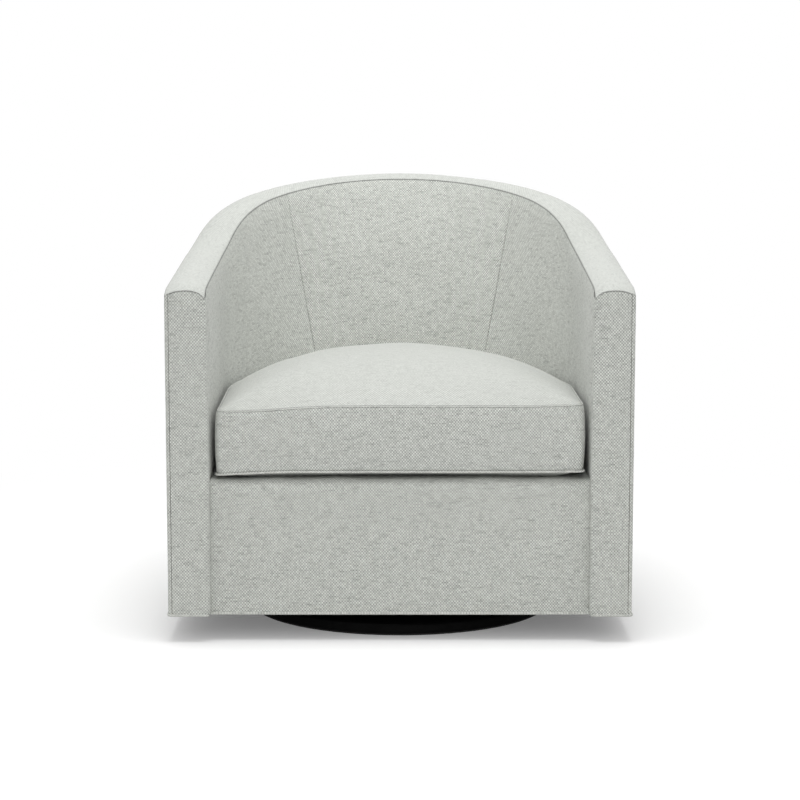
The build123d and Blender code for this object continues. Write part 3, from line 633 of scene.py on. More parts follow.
# ---- outside cover, one cloth from arm front to arm front, pulled tight over its board
outside = {
    "roll": 0.0012, "puff": 0.0006, "reach": 0.02, "size": 0.30, "wave": 0.0005, "pucker": 0.0002, "seed": 21,
    "deep": {"l": 0.0008, "r": 0.0008, "b": 0.0008, "t": 0.0014},
    "paintedShade": {"l": 0.0, "r": 0.0, "b": 0.0, "t": 0.30},
    "corner": 0.004, "cornerCount": 7, "strip": 0.006, "thick": 0.0018,
    "step": 0.010, "rowRun": 0.6, "rowStep": 0.012,
}
stripRun = outside["strip"] - outside["corner"]
cornerRun = outside["corner"] * math.pi / 2
straightRun = denseLength[-1] - 2 * outside["corner"]
coverRun = straightRun + 2 * (stripRun + cornerRun)
places = spread(coverRun, outside["step"]) * coverRun
bends = np.linspace(stripRun, stripRun + cornerRun, outside["cornerCount"])
places = np.unique(np.concatenate([places, bends, coverRun - bends]))
fromEnd = np.minimum(places, coverRun - places)
angle = np.clip((fromEnd - stripRun) / outside["corner"], 0, math.pi / 2)
u = placeAt(np.clip(places - stripRun - cornerRun, 0, straightRun) + outside["corner"])
x, y, _, _ = wallOutline(u)
turned = fromEnd < stripRun + cornerRun
inset = np.where(turned, outside["corner"] * (1 - np.sin(angle)) + np.clip(stripRun - fromEnd, 0, None), 0)
x = np.where(turned, np.sign(x) * (chair["half"] - inset), x)
y = np.where(turned, chair["front"] + outside["corner"] * (1 - np.cos(angle)), y)
tops = bandHeight(u, inset)
rows = spread(outside["rowRun"], outside["rowStep"])
z = chair["hem"] + rows[:, None] * (tops - chair["hem"])[None]
coverGrid = np.stack([np.broadcast_to(x, z.shape), np.broadcast_to(y, z.shape), z], -1)
coverFlat = np.stack(np.broadcast_arrays(places[None], z), -1)
coverFront, coverNormal, coverPaintedShade = sewn(coverGrid, coverFlat, outside)
outsideCover = makePiece(
    "outsideCover", shell(coverFront, coverGrid - coverNormal * outside["thick"], coverFlat, coverPaintedShade),
    chairCloth, "chair", ["outside_cover"],
)

# ---- inside of the barrel: two arms and the back, divided by two upright seams
inside = {
    "roll": 0.0014, "puff": 0.0022, "reach": 0.016, "size": 0.20, "wave": 0.0011, "pucker": 0.0004,
    "seed": 31,
    "deep": {"l": 0.0004, "r": 0.0004, "b": 0.0010, "t": 0.0030},
    "paintedShade": {"l": 0.0, "r": 0.0, "b": 0.3, "t": 0.75},
    "step": 0.009, "rowRun": 0.45, "rowStep": 0.010,
    "bellyBack": 0.011, "bellyArm": 0.0040,  # how far the padding swells inwards
    "armPower": 2.6, "armStart": 46.0, "armFade": 0.7,  # how flat it is at the arms, its start and fade
    "padBack": 0.0300, "padDrop": 0.004,  # the padding reaches out to the frame
    "panelGap": 0.001,
}


def seamPlace(share):
    # where the inside seam lies at this share of the height, as u
    away = np.radians(90 - chair["lowSeam"] - share * (chair["topSeam"] - chair["lowSeam"]))
    return 2 + (away - chair["turn"]) / (math.pi / 2 - chair["turn"])


def insidePiece(name, start, end, replaced, seed, width):
    share = spread(inside["rowRun"], inside["rowStep"])
    columns = spread(width, inside["step"])
    u = start(share)[:, None] + columns[None] * (end(share) - start(share))[:, None]
    plan = np.array([np.stack(outline(one, *liningShape(part)), -1) for one, part in zip(u, share)])
    if "Back" in name:  # fullest in the upper half; 27 / 4 brings the peak to 1
        belly = inside["bellyBack"] * share**2 * (1 - share) * 27 / 4
        window = np.sqrt(4 * columns * (1 - columns))
    else:  # full right behind the arm front, down beside the cushion
        belly = inside["bellyArm"] * (1 - np.abs(2 * share - 1) ** inside["armPower"])
        near = columns if "Left" in name else 1 - columns
        window = (1 - np.exp(-near * inside["armStart"])) * (1 - near) ** inside["armFade"]
    plan = plan[..., :2] - plan[..., 2:] * (belly[:, None] * window[None])[..., None]
    tops = bandHeight(u[-1], chair["wall"])
    z = chair["deck"] + share[:, None] * (tops - chair["deck"])[None]
    grid = np.concatenate([plan, z[..., None]], -1)
    run = lengthAlong(grid, 1)
    zero = run[:, [run.shape[1] // 2]] if "Back" in name else (run[:, [-1]] if "Right" in name else 0)
    flat = np.stack([run - zero, lengthAlong(grid, 0)], -1)
    front, _, paintedShade = sewn(grid, flat, dict(inside, seed=seed), facing=-1)
    x, y, _, _ = wallOutline(u, inside["padBack"])
    y = np.maximum(y, chair["front"] + armFront["return"] + inside["panelGap"])
    back = np.stack([x, y, z - inside["padDrop"] * share[:, None]], -1)
    piece = makePiece(name, shell(front, back, flat, paintedShade), chairCloth, "chair", replaced)
    return piece


armStart = armFront["return"] / (wallOutline(1.0)[1] - chair["front"])
insidePiece("insideArmLeft", lambda s: np.full(s.shape, armStart), seamPlace,
            ["inside_arm_cover_left", "inside_arm_pad_left"], 31, 0.60)
insidePiece("insideArmRight", lambda s: 6 - seamPlace(s), lambda s: np.full(s.shape, 6 - armStart),
            ["inside_arm_cover_right", "inside_arm_pad_right"], 32, 0.60)
insidePiece("insideBack", seamPlace, lambda s: 6 - seamPlace(s),
            ["inside_back_cover", "inside_back_pad"], 33, 0.38)
print("inside lined")

# ---- front cover: down the front rail, over its padded top edge and back under the cushion
rail = {
    "roll": 0.0012, "puff": 0.0012, "reach": 0.014, "size": 0.13, "wave": 0.0008, "pucker": 0.0003,
    "seed": 41,
    "deep": {"b": 0.0010, "t": 0.0010}, "paintedShade": {"b": 0.15, "t": 0.0},
    "recess": 0.016, "edge": 0.016, "lip": 0.088, "thick": 0.0065, "tuck": 0.002,
    "step": 0.009, "widthStep": 0.010, "edgeCount": 9,
}
railY = chair["front"] + rail["recess"]
faceRun = chair["deck"] - rail["edge"] - chair["hem"]
edgeRun = rail["edge"] * math.pi / 2
lipRun = rail["lip"] - rail["edge"]
run = faceRun + edgeRun + lipRun
steps = spread(run, rail["step"]) * run
steps = np.unique(np.concatenate([steps, faceRun + np.linspace(0, edgeRun, rail["edgeCount"])]))
angle = np.clip((steps - faceRun) / rail["edge"], 0, math.pi / 2)
z = chair["hem"] + np.clip(steps, 0, faceRun) + rail["edge"] * np.sin(angle)
y = railY + rail["edge"] * (1 - np.cos(angle)) + np.clip(steps - faceRun - edgeRun, 0, None)
width = 2 * (chair["half"] - chair["wall"] + rail["tuck"])  # its ends are tucked behind the arm panels
columns = (spread(width, rail["widthStep"]) - 0.5) * width
railGrid = np.stack(np.broadcast_arrays(columns[None], y[:, None], z[:, None]), -1)
railFlat = np.stack(np.broadcast_arrays(columns[None], steps[:, None]), -1)
railFront, railNormal, railPaintedShade = sewn(railGrid, railFlat, rail, seams="bt")
frontCover = makePiece(
    "frontCover", shell(railFront, railGrid - railNormal * rail["thick"], railFlat, railPaintedShade),
    chairCloth, "chair", ["front_cover"],
)

# ---- welt along the hem
hem = {
    "radius": 0.0022, "rise": 0.0018, "out": 0.0008, "corner": 0.006, "past": 0.001,
    "aroundCount": 420, "cornerCount": 8, "frontCount": 10, "railCount": 90, "sides": 10,
}
hemZ = chair["hem"] + hem["rise"]
sideRun = placeAt(np.linspace(hem["corner"], denseLength[-1] - hem["corner"], hem["aroundCount"]))
sideX, sideY, _, _ = wallOutline(sideRun, -hem["out"])
cornerTurn = np.linspace(0, math.pi / 2, hem["cornerCount"])
cornerX = chair["half"] - hem["corner"] + (hem["corner"] + hem["out"]) * np.sin(cornerTurn)
cornerY = chair["front"] + hem["corner"] - (hem["corner"] + hem["out"]) * np.cos(cornerTurn)
frontX = np.linspace(chair["half"] - chair["wall"] - hem["past"], cornerX[0], hem["frontCount"])[:-1]
frontY = np.full(len(frontX), cornerY[0])
rightHalf = np.stack([np.concatenate([frontX, cornerX]), np.concatenate([frontY, cornerY])], -1)
leftHalf = rightHalf * [-1, 1]
around = np.concatenate([leftHalf, np.stack([sideX, sideY], -1)[1:-1], rightHalf[::-1]])
railX = np.linspace(-columns[-1], columns[-1], hem["railCount"])
weltParts = []
for path in (around, np.stack([railX, np.full(len(railX), railY - hem["out"])], -1)):
    weltParts.append(tube(np.column_stack([path, np.full(len(path), hemZ)]), hem["radius"], hem["sides"]))


def joined(parts):
    points, faces, flat, count = [], [], [], 0
    for part in parts:
        points.append(part[0])
        flat.append(part[2])
        faces += [tuple(int(i) + count for i in face) for face in part[1]]
        count += len(part[0])
    return np.concatenate(points), faces, np.concatenate(flat)


makePiece("hemWelt", joined(weltParts), weltCloth, "chair", ["hem_welt"])
print("front cover and hem made")


# ---- closed outlines for the flat sheets, the deck and the cushion
patch = {"cornerCount": 31, "frontCount": 160, "backCorner": math.radians(48)}


def closedOutline(shape, front, corner):
    # front corners rounded; returns the loop, its run and the places of its four patch corners
    x, y, _, _ = outline(np.linspace(0, 6, outlineCount), *shape, front)
    side = np.stack([x, y], -1)[y > front + corner]
    half, back, radius = shape
    turn = np.linspace(0, math.pi / 2, patch["cornerCount"])[1:-1]
    right = np.stack([half - corner + corner * np.cos(turn), front + corner - corner * np.sin(turn)], -1)
    left = right[::-1] * [-1, 1]
    frontX = np.linspace(half - corner, corner - half, patch["frontCount"])
    fronts = np.stack([frontX, np.full(len(frontX), front)], -1)
    loop = np.concatenate([left[len(left) // 2:], side, right, fronts, left[: len(left) // 2]])
    run = lengthAlong(np.concatenate([loop, loop[:1]]), 0)
    bearing = np.arctan2(loop[:, 0], loop[:, 1] - (back - radius))
    backLeft = np.argmin(np.abs(bearing + patch["backCorner"]))
    backRight = np.argmin(np.abs(bearing - patch["backCorner"]))
    frontRight = len(left) - len(left) // 2 + len(side) + len(right) // 2
    return loop, run, (0, backLeft, backRight, frontRight, len(loop))


def resample(loop, run, distances):
    closed = np.concatenate([loop, loop[:1]])
    return np.stack([np.interp(distances, run, closed[:, k]) for k in (0, 1)], -1)


def sheetRing(shape, front, corner, hole, height, thick, cols=240, rows=14):
    loop, run, _ = closedOutline(shape, front, corner)
    outer = resample(loop, run, np.linspace(0, run[-1], cols, endpoint=False))
    if hole:
        away = outer / np.max(np.abs(outer), 1, keepdims=True)
        inner = away * hole
    else:
        inner = outer * 0.02 + seatMiddle
    share = np.linspace(0, 1, rows)[:, None, None]
    plan = outer[None] * (1 - share) + inner[None] * share
    top = np.concatenate([plan, np.full(plan.shape[:2] + (1,), height)], -1)
    low = top - np.array([0, 0, thick])
    if not hole:
        return ring(np.concatenate([top[::-1], low]), np.concatenate([top[::-1, :, :2], low[..., :2]]))
    loops = np.concatenate([top, low[::-1]]).reshape(-1, 3)
    return loops, torusQuads(np.arange(len(loops)).reshape(-1, cols)), loops[:, :2]


def flatArea(loop):
    x, y = loop[:, 0], loop[:, 1]
    return abs(float(np.sum(x * np.roll(y, -1) - y * np.roll(x, -1)) / 2))


dust = {"corner": 0.004, "opening": 0.115, "thick": 0.0006}
dustLow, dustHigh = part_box("dust_cover")
dustShape = (dustHigh.x, dustHigh.y, chair["radius"] - (chair["half"] - dustHigh.x))
dustCover = makePiece(
    "dustCover", sheetRing(dustShape, dustLow.y, dust["corner"], dust["opening"], dustHigh.z, dust["thick"]),
    liningCloth, "chair", ["dust_cover"],
)
dustLoop = closedOutline(dustShape, dustLow.y, dust["corner"])[0]

clothCorner = 0.003
clothLow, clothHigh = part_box("deck_cloth")
clothShape = (clothHigh.x, clothHigh.y, chair["radius"] - (chair["half"] - clothHigh.x))
deckCloth = makePiece(
    "deckCloth", sheetRing(clothShape, clothLow.y, clothCorner, 0, clothHigh.z, clothHigh.z - clothLow.z),
    liningCloth, "chair", ["deck_cloth"],
)
flatArea(closedOutline(clothShape, clothLow.y, clothCorner)[0])


def padLevels(outer, middle, top, profile, wave=0.0):
    # loops from the middle of a pad's top, round its edge to the middle of its underside
    levels = []
    for drop, share in profile:
        plan = middle + (outer - middle) * share
        wavy = ripple(plan[:, 0], plan[:, 1], 61, 0.12, wave if drop == 0 else 0.0)
        levels.append(np.column_stack([plan, top - drop + wavy]))
    return np.array(levels)


deckPad = {
    "corner": 0.004, "count": 300, "sink": 0.0004, "wave": 0.0003,
    "profile": ((0.0, 0.02), (0.0, 0.25), (0.0, 0.5), (0.0, 0.75), (0.0, 0.93), (0.0, 0.98), (0.0006, 0.992),
                (0.0028, 1.0), (0.0055, 0.999), (0.0073, 0.99), (0.0075, 0.5), (0.0075, 0.02)),
}
padLow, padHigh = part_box("deck_pad")
padShape = (padHigh.x, padHigh.y, chair["radius"] - (chair["half"] - padHigh.x))
loop, run, _ = closedOutline(padShape, padLow.y, deckPad["corner"])
outer = resample(loop, run, np.linspace(0, run[-1], deckPad["count"], endpoint=False))
levels = padLevels(outer, seatMiddle, padHigh.z - deckPad["sink"], deckPad["profile"], deckPad["wave"])
deckTop = makePiece("deckPadding", ring(levels, levels[..., :2]), deckFelt, "chair", ["deck_pad"])

felt = {
    "count": 160,
    "profile": ((0.0, 0.3), (0.0, 0.97), (0.0, 0.995), (0.0006, 1.0), (0.0024, 1.0),
                (0.003, 0.996), (0.003, 0.3)),
}
_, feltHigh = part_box("floor_pad")
turns = np.linspace(0, math.tau, felt["count"], endpoint=False)
feltRim = feltHigh.x * np.stack([np.cos(turns), np.sin(turns)], -1)
feltLoops = padLevels(feltRim, np.zeros(2), feltHigh.z, felt["profile"])
feltPad = makePiece("floorFelt", ring(feltLoops, feltLoops[..., :2]), blackFelt, "base",
                    ["floor_pad"])
print("sheets and deck laid")

# ---- seat cushion: a closed case over foam, its panels blown up by cloth simulation between held seams
cushion = {
    "gap": 0.0098, "frontIn": 0.014, "bottomSeam": 0.291, "topSeam": 0.402, "rest": 0.2764, "corner": 0.011,
    "crown": 0.064, "power": 3.1, "crownCorner": 0.160,  # how much rounder the corners get towards the top
    "draw": 0.0025, "groove": 0.0030, "grooveWidth": 0.0016,  # how far the seams pull in
    "bellyDraw": 0.055, "bellyPower": 1.1,
    "waveSeed": 71, "waveSize": 0.17, "wave": 0.0016,
    "rows": (0.0, 0.012, 0.03, 0.07, 0.14, 0.23, 0.33, 0.44, 0.56, 0.67, 0.77, 0.86, 0.93, 0.97, 0.988, 1.0),
    "acrossCount": 78, "sideCount": 66, "crowding": 0.35, "rimPower": 1.12,  # closer rows at corners and rim
    "frames": 20, "topCap": 0.007, "boxingCap": 0.0055, "bellyCap": 0.002,
    "sideCap": 0.0015, "sideFrom": 0.05,  # the boxing swells less beside the arms
    "zipCap": 0.0008, "zipFrom": 0.10,  # and less still at the zipper
    "held": 0.004,
    "paintedShade": 0.8, "lowPaintedShade": 0.1, "paintedShadeWidth": 0.0013,  # painted shade along its seams, strong at the top and faint at the bottom, and how far it reaches
}
askew = {  # the cushion sits a little askew, its left front lower
    "from": 0.05, "run": 0.3, "leftFrom": 0.18, "leftRun": 0.13, "leftPower": 1.5, "rightFrom": 0.22,
    "rightRun": 0.09, "topLeft": 0.004, "topRight": 0.003, "lowLeft": 0.005, "lowRight": 0.001,
    "dip": 0.0062, "dipAt": -0.245, "dipWidth": 0.085,
}


def cushionShape(height, draw):
    return [size - (cushion["gap"] + draw) for size in liningShape(liningShare(height))]


def cushionLoop(height, draw):
    # the loop sampled in four runs, so that every row of the boxing has its points above each other
    front = chair["front"] + cushion["frontIn"] + draw
    loop, run, marks = closedOutline(cushionShape(height, draw), front, cushion["corner"])
    counts = (cushion["sideCount"], cushion["acrossCount"], cushion["sideCount"], cushion["acrossCount"])
    distances = []
    for start, end, count in zip(marks, marks[1:], counts):
        even = np.linspace(0, 1, count + 1)
        crowded = (1 - np.cos(math.pi * even)) / 2
        places = crowded * cushion["crowding"] + even * (1 - cushion["crowding"])
        distances.append((run[start] + places * (run[end] - run[start]))[:-1])
    return resample(loop, run, np.concatenate(distances))


def seamTilt(x, y, top):
    forward = np.clip((askew["from"] - y) / askew["run"], 0, 1)
    left = np.clip((-x - askew["leftFrom"]) / askew["leftRun"], 0, 1) ** askew["leftPower"]
    right = np.clip((x - askew["rightFrom"]) / askew["rightRun"], 0, 1)
    if not top:
        return forward * (askew["lowRight"] * right - askew["lowLeft"] * left)
    dip = askew["dip"] * np.exp(-(((x - askew["dipAt"]) / askew["dipWidth"]) ** 2))
    return forward * (askew["topRight"] * right - askew["topLeft"] * left - dip)


def coons(loop):
    # a patch of quads inside a loop of four runs
    side, over = cushion["sideCount"], cushion["acrossCount"]
    left = loop[: side + 1]
    back = loop[side : side + over + 1]
    right = loop[side + over : 2 * side + over + 1][::-1]
    front = np.concatenate([loop[2 * side + over :], loop[:1]])[::-1]
    v, u = np.linspace(0, 1, side + 1)[:, None, None], np.linspace(0, 1, over + 1)[None, :, None]
    ruled = (1 - v) * front[None] + v * back[None] + (1 - u) * left[:, None] + u * right[:, None]
    corners = (1 - u) * (1 - v) * front[0] + u * (1 - v) * front[-1]
    corners = corners + (1 - u) * v * back[0] + u * v * back[-1]
    return ruled - corners


def shareOf(points, loop):
    # how far out a point lies from the middle of the loop, 1 on it
    middle = (loop.max(0) + loop.min(0)) / 2
    ray = loop - middle
    angles = np.arctan2(ray[:, 1], ray[:, 0])
    order = np.argsort(angles)
    angles, reach = angles[order], np.linalg.norm(ray, axis=1)[order]
    angles = np.concatenate([angles[-3:] - math.tau, angles, angles[:3] + math.tau])
    reach = np.concatenate([reach[-3:], reach, reach[:3]])
    away = points - middle
    return np.linalg.norm(away, axis=-1) / np.interp(np.arctan2(away[..., 1], away[..., 0]), angles, reach)


def crownShare(points, height, draw):
    # like shareOf, but the level lines get rounder corners towards the top
    shape, front = cushionShape(height, draw), chair["front"] + cushion["frontIn"] + draw
    radii = cushion["corner"] + cushion["crownCorner"] * np.linspace(0, 1, 7)
    shares = np.array([shareOf(points, closedOutline(shape, front, radius)[0]) for radius in radii])
    share = shares[0]
    for _ in range(8):
        place = np.clip(1 - share, 0, 1) * (len(radii) - 1)
        low = np.clip(place.astype(int), 0, len(radii) - 2)
        below = np.take_along_axis(shares, low[None], 0)[0]
        above = np.take_along_axis(shares, low[None] + 1, 0)[0]
        share = below + (above - below) * (place - low)
    return np.clip(share, 0, 1)


def casePanel(edge, top):
    # the top or bottom panel inside its seam, and how far out each of its points lies
    plan = coons(edge[:, :2])
    share = np.clip(shareOf(plan, edge[:, :2]), 0, 1)
    middle = (edge[:, :2].max(0) + edge[:, :2].min(0)) / 2
    out = 1 - (1 - share) ** cushion["rimPower"]
    plan = middle + (plan - middle) * (out / np.maximum(share, 1e-6))[..., None]
    border = coons(edge)[..., 2]
    if top:
        level = crownShare(plan, cushion["topSeam"], cushion["draw"] + cushion["groove"])
        level[[0, -1]] = level[:, 0] = level[:, -1] = 1
        rise = cushion["crown"] * (1 - level ** cushion["power"])
        wave = ripple(plan[..., 0], plan[..., 1], cushion["waveSeed"], cushion["waveSize"], cushion["wave"])
        height = border * out**3 + (1 - out**3) * cushion["topSeam"] + rise + wave * (1 - level**6)
    else:
        reach = np.linalg.norm(plan - middle, axis=-1) * (1 / np.maximum(out, 1e-6) - 1)
        fall = np.clip(1 - reach / cushion["bellyDraw"], 0, 1)
        height = cushion["rest"] + (border - cushion["rest"]) * fall ** cushion["bellyPower"]
    return np.concatenate([plan, height[..., None]], -1), out


def cushionCase():
    # all three panels, the kind of each point (0 bottom, 1 boxing, 2 top) and its way to a seam
    low, tall = cushion["bottomSeam"], cushion["topSeam"] - cushion["bottomSeam"]
    loops, flats, fromSeam = [], [], []
    middle = cushionLoop(low + tall / 2, 0)
    ahead = lengthAlong(np.concatenate([middle, middle[:1]]), 0)[:-1]  # one run for all rows
    for share in cushion["rows"]:
        height, near = low + share * tall, min(share, 1 - share) * tall
        pull = cushion["groove"] * math.exp(-near / cushion["grooveWidth"])
        plan = cushionLoop(height, cushion["draw"] * (2 * share - 1) ** 2 + pull)
        tilts = [seamTilt(plan[:, 0], plan[:, 1], top) for top in (False, True)]
        loops.append(np.column_stack([plan, height + (1 - share) * tilts[0] + share * tilts[1]]))
        flats.append(np.column_stack([ahead, np.full(len(plan), height)]))
        fromSeam.append(np.full(len(plan), near))
    points = np.concatenate(loops)
    faces = ringQuads(np.arange(len(points)).reshape(len(loops), -1))
    parts, kinds = [(points, faces, np.concatenate(flats))], [np.full(len(points), 1)]
    for top in (True, False):
        grid, out = casePanel(loops[-1] if top else loops[0], top)
        faces = gridQuads(np.arange(out.size).reshape(out.shape))
        points = grid.reshape(-1, 3)
        parts.append((points, faces, points[:, :2]))
        kinds.append(np.full(len(points), 2 if top else 0))
        fromSeam.append(((1 - out) * 0.3).ravel())  # the panel is about 0.3 m from its middle to its seam
    return joined(parts), np.concatenate(kinds), np.concatenate(fromSeam)


caseCloth = {
    "quality": 6, "mass": 0.25, "use_pressure": True, "uniform_pressure_force": 4.0, "tension_stiffness": 22,
    "compression_stiffness": 22, "shear_stiffness": 6, "bending_stiffness": 0.8, "vertex_group_mass": "held",
}


def blowUp(piece, kinds, fromSeam):
    # cloth under pressure with the seams held, then each point's way capped
    count = len(piece.data.vertices)
    before = np.empty(count * 3)
    piece.data.vertices.foreach_get("co", before)
    before = before.reshape(-1, 3)
    held = piece.vertex_groups.new(name="held")
    still = (fromSeam < cushion["held"]) | ((kinds == 0) & (before[:, 2] < cushion["rest"] + 0.0005))
    held.add([int(i) for i in np.where(still)[0]], 1.0, "REPLACE")
    modifier = piece.modifiers.new("pressure", "CLOTH")
    settings = modifier.settings
    for key, value in caseCloth.items():
        setattr(settings, key, value)
    settings.effector_weights.gravity = 0
    modifier.collision_settings.use_collision = False
    for step in range(1, cushion["frames"] + 1):
        bpy.context.scene.frame_set(step)
    shown = piece.evaluated_get(bpy.context.evaluated_depsgraph_get())
    after = np.empty(count * 3)
    shown.data.vertices.foreach_get("co", after)
    piece.modifiers.remove(modifier)
    bpy.context.scene.frame_set(1)
    way = after.reshape(-1, 3) - before
    caps = np.choose(kinds, [cushion["bellyCap"], cushion["boxingCap"], cushion["topCap"]])
    for start, cap in ((chair["front"] + cushion["sideFrom"], "sideCap"), (cushion["zipFrom"], "zipCap")):
        caps = np.where((kinds == 1) & (before[:, 1] > start), cushion[cap], caps)
    length = np.linalg.norm(way, axis=1)
    print("cloth moved up to", round(float(length.max()), 4))
    capped = caps * np.tanh(length / np.maximum(caps, 1e-6)) / np.maximum(length, 1e-9)
    moved = before + way * capped[:, None]
    piece.data.vertices.foreach_set("co", moved.ravel())
    piece.data.update()


(casePoints, caseFaces, caseFlat), caseKinds, caseFromSeam = cushionCase()


def welded(points, faces, kinds, fromSeam):
    # the three panels share their seam points
    keys = {}
    target = np.empty(len(points), int)
    chosen = []
    for i, point in enumerate(np.round(points / 2e-6).astype(int)):
        key = tuple(point)
        if key not in keys:
            keys[key] = len(chosen)
            chosen.append(i)
        target[i] = keys[key]
    return points[chosen], [tuple(target[list(face)]) for face in faces], kinds[chosen], fromSeam[chosen]


seatPoints, seatFaces, seatKinds, seatFromSeam = welded(casePoints, caseFaces, caseKinds, caseFromSeam)
# painted shade along the seams: strong at the top seam, faint at the bottom one
upper = seatPoints[:, 2] > (cushion["bottomSeam"] + cushion["topSeam"]) / 2
seatPaintedShade = np.where(upper, cushion["paintedShade"], cushion["lowPaintedShade"])
seatPaintedShade = seatPaintedShade * np.exp(-((seatFromSeam / cushion["paintedShadeWidth"]) ** 2))
noFlat = np.zeros((len(seatPoints), 2))  # laid by layCloth
seatCushion = makePiece(
    "seatCushion", (seatPoints, seatFaces, noFlat, seatPaintedShade), cushionCloth, "cushion",
    ["cushion_core", "cushion_top_panel", "cushion_boxing_panel", "cushion_bottom_panel"],
)
seatCushion.data.materials.append(litTopCloth)


def layCloth(mesh):
    # each panel keeps its own cloth coordinates, and the top panel gets the copy of the cloth painted for the
    # light on top
    corners = np.array([caseFlat[list(face)] for face in caseFaces])
    widest = caseFlat[:, 0].max()
    for four in corners:  # the boxing's last column runs on instead of jumping back
        if np.ptp(four[:, 0]) > widest / 2:
            four[four[:, 0] < widest / 2, 0] += widest
    facePlace = {frozenset(map(int, face)): i for i, face in enumerate(seatFaces)}
    flat = np.zeros((len(mesh.loops), 2))
    for polygon in mesh.polygons:
        source = facePlace[frozenset(polygon.vertices)]
        polygon.material_index = int(seatKinds[list(polygon.vertices)].max() == 2)
        lookup = dict(zip(map(int, seatFaces[source]), corners[source]))
        for loopIndex, vertex in zip(polygon.loop_indices, polygon.vertices):
            flat[loopIndex] = lookup[vertex]
    mesh.uv_layers["cloth"].data.foreach_set("uv", flat.ravel())


layCloth(seatCushion.data)
blowUp(seatCushion, seatKinds, seatFromSeam)
smooth = seatCushion.modifiers.new("smooth", "SUBSURF")
smooth.levels = smooth.render_levels = 1
print("cushion made,", len(seatPoints), "points")


# ---- welts in the cushion's two seams, and its zipper at the back
cushionWelts = (
    {"piece": "cushionTopWelt", "node": "cushion_top_welt", "top": True,
     "radius": 0.0011, "out": -0.0026},
    {"piece": "cushionBottomWelt", "node": "cushion_bottom_welt", "top": False,
     "radius": 0.0019, "out": 0.0010},
)
for welt in cushionWelts:
    height = cushion["topSeam"] if welt["top"] else cushion["bottomSeam"]
    plan = cushionLoop(height, cushion["draw"] - welt["out"])
    path = np.column_stack([plan, height + seamTilt(plan[:, 0], plan[:, 1], welt["top"])])
    made = tube(path, welt["radius"], hem["sides"], closed=True)
    makePiece(welt["piece"], made, weltCloth, "cushion", [welt["node"]])

zipper = {
    "half": math.radians(50.0), "height": 0.026, "thick": 0.001, "out": 0.0016,
    "count": 120, "rowStep": 0.003, "bulge": 0.0006, "bulgeWidth": 0.003,
    "tooth": 0.0007, "toothHalf": 0.0009, "toothRise": 0.0009, "toothPitch": 0.0026, "toothMargin": 0.01,
}
zipLow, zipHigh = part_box("cushion_zipper")
zipMiddle = (zipLow.z + zipHigh.z) / 2
_, zipY, zipRadius = cushionShape(zipMiddle, -zipper["out"])
zipCentre = np.array([0, zipY - zipRadius])
zipTurn = np.linspace(-zipper["half"], zipper["half"], zipper["count"])
zipRows = spread(zipper["height"], zipper["rowStep"]) * zipper["height"] - zipper["height"] / 2
away = np.stack([np.sin(zipTurn), np.cos(zipTurn)], -1)
reach = zipRadius + zipper["bulge"] * np.exp(-((zipRows / zipper["bulgeWidth"]) ** 2))
zipPlan = zipCentre + away[None] * reach[:, None, None]
zipZ = np.broadcast_to((zipMiddle + zipRows)[:, None, None], zipPlan.shape[:2] + (1,))
zipFront = np.concatenate([zipPlan, zipZ], -1)
zipBack = np.concatenate([zipPlan - away[None] * zipper["thick"], zipZ], -1)
zipFlat = np.stack(np.broadcast_arrays(lengthAlong(zipFront[0], 0)[None], zipRows[:, None]), -1)
zipParts = [shell(zipFront, zipBack, zipFlat)]
toothTurns = np.arange(zipTurn[0] + zipper["toothMargin"], zipTurn[-1] - zipper["toothMargin"],
                       zipper["toothPitch"] / zipRadius)
for i, turn in enumerate(toothTurns):
    rise = zipper["toothRise"] if i % 2 else -zipper["toothRise"]
    place = zipCentre + (zipRadius + zipper["bulge"]) * np.array([math.sin(turn), math.cos(turn)])
    middle = np.append(place, zipMiddle + rise)
    step = np.array([math.cos(turn), -math.sin(turn), 0]) * zipper["toothHalf"]
    zipParts.append(tube(np.array([middle - step, middle, middle + step]), zipper["tooth"], 6))
makePiece("cushionZipper", joined(zipParts), zipperTape, "cushion", ["cushion_zipper"])
print("welts and zipper made")

# ---- floor, light and camera
stage = {
    "floorSize": 30.0, "nearFade": 0.75, "farFade": 1.7,
    "floorSeen": 0.86,
    "floorBounce": 0.66,  # what it throws back at the chair
    "lift": 0.15,  # seen by the camera only, so that the shadow stays a light one
    "worldLight": 0.73,
}
white = (1, 1, 1, 1)
reach = stage["floorSize"]
floorCorners = [(-reach, -reach, 0), (reach, -reach, 0), (reach, reach, 0), (-reach, reach, 0)]
floorMesh = bpy.data.meshes.new("floor")
floorMesh.from_pydata(floorCorners, [], [(0, 1, 2, 3)])
floor = bpy.data.objects.new("floor", floorMesh)
bpy.context.scene.collection.objects.link(floor)


def seenRays(tree):
    # 1 for what the camera sees, by itself or in gloss and glass
    rays = addNode(tree, "ShaderNodeLightPath").outputs
    through = maths(tree, "MAXIMUM", rays["Is Glossy Ray"], rays["Is Transmission Ray"])
    return maths(tree, "MAXIMUM", rays["Is Camera Ray"], through)


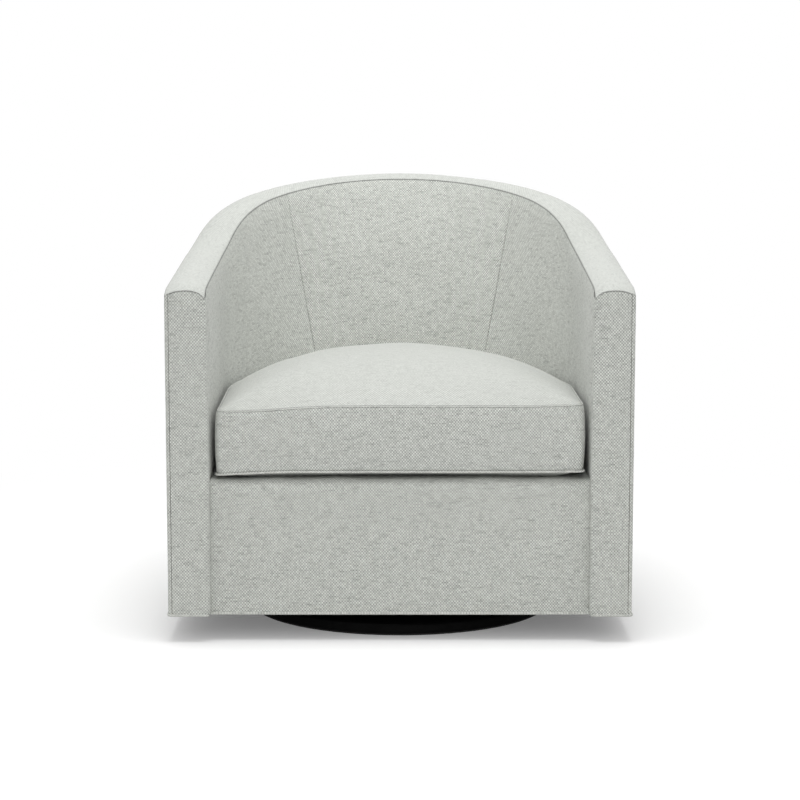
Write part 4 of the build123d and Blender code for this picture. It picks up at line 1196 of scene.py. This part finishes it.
floorMaterial = bpy.data.materials.new("paleFloor")
floorMaterial.use_nodes = True
tree = floorMaterial.node_tree
shader = tree.nodes["Principled BSDF"]
shader.inputs["Roughness"].default_value = 0.9
shader.inputs["Specular IOR Level"].default_value = 0.1
place = addNode(tree, "ShaderNodeTexCoord").outputs["Object"]
away = addNode(tree, "ShaderNodeVectorMath", {0: place}, operation="LENGTH").outputs["Value"]
fadeRange = {"Value": away, "From Min": stage["nearFade"], "From Max": stage["farFade"]}
fade = addNode(tree, "ShaderNodeMapRange", fadeRange, interpolation_type="SMOOTHSTEP").outputs[0]
seen = seenRays(tree)
tones = [(stage[key],) * 3 + (1,) for key in ("floorBounce", "floorSeen")]
tree.links.new(mixColours(tree, seen, *tones), shader.inputs["Base Color"])
strength = maths(tree, "MULTIPLY", seen, stage["lift"])
lift = addNode(tree, "ShaderNodeEmission", {"Color": white, "Strength": strength})
lifted = addNode(tree, "ShaderNodeAddShader", {0: shader.outputs[0], 1: lift.outputs[0]})
paper = addNode(tree, "ShaderNodeEmission", {"Color": white, "Strength": 1.0})
mixed = addNode(tree, "ShaderNodeMixShader", {0: maths(tree, "MULTIPLY", fade, seen)})
tree.links.new(lifted.outputs[0], mixed.inputs[1])
tree.links.new(paper.outputs[0], mixed.inputs[2])
tree.links.new(mixed.outputs[0], tree.nodes["Material Output"].inputs["Surface"])
floorMesh.materials.append(floorMaterial)

world = bpy.data.worlds.new("studio")
bpy.context.scene.world = world
world.use_nodes = True
tree = world.node_tree
tree.nodes.clear()
dome = addNode(tree, "ShaderNodeBackground", {"Color": white, "Strength": stage["worldLight"]})
plain = addNode(tree, "ShaderNodeBackground", {"Color": white, "Strength": 1.0})
mixed = addNode(tree, "ShaderNodeMixShader", {0: seenRays(tree)})
tree.links.new(dome.outputs[0], mixed.inputs[1])
tree.links.new(plain.outputs[0], mixed.inputs[2])
tree.links.new(mixed.outputs[0], addNode(tree, "ShaderNodeOutputWorld").inputs["Surface"])


def addLamp(name, place, turn, size, power):
    lamp = bpy.data.lights.new(name, "AREA")
    lamp.shape, lamp.size, lamp.energy = "DISK", size, power
    holder = bpy.data.objects.new(name, lamp)
    holder.location, holder.rotation_euler = place, [math.radians(angle) for angle in turn]
    bpy.context.scene.collection.objects.link(holder)


addLamp("overhead", (0.0, -0.2, 3.0), (4, 0, 0), 2.0, 46.0)
addLamp("front", (0.0, -4.5, 1.8), (80, 0, 0), 3.0, 38.0)

view = {"place": (0.0, -4.0024, 0.9039), "down": 7.548, "sensor": 36.0, "lens": 99.69}
camera = bpy.data.cameras.new("camera")
camera.sensor_width, camera.lens = view["sensor"], view["lens"]
cameraHolder = bpy.data.objects.new("camera", camera)
cameraHolder.location = view["place"]
cameraHolder.rotation_euler = (math.radians(90 - view["down"]), 0, 0)
bpy.context.scene.collection.objects.link(cameraHolder)
bpy.context.scene.camera = cameraHolder
bpy.context.scene.view_settings.view_transform = "Standard"
print("stage lit")
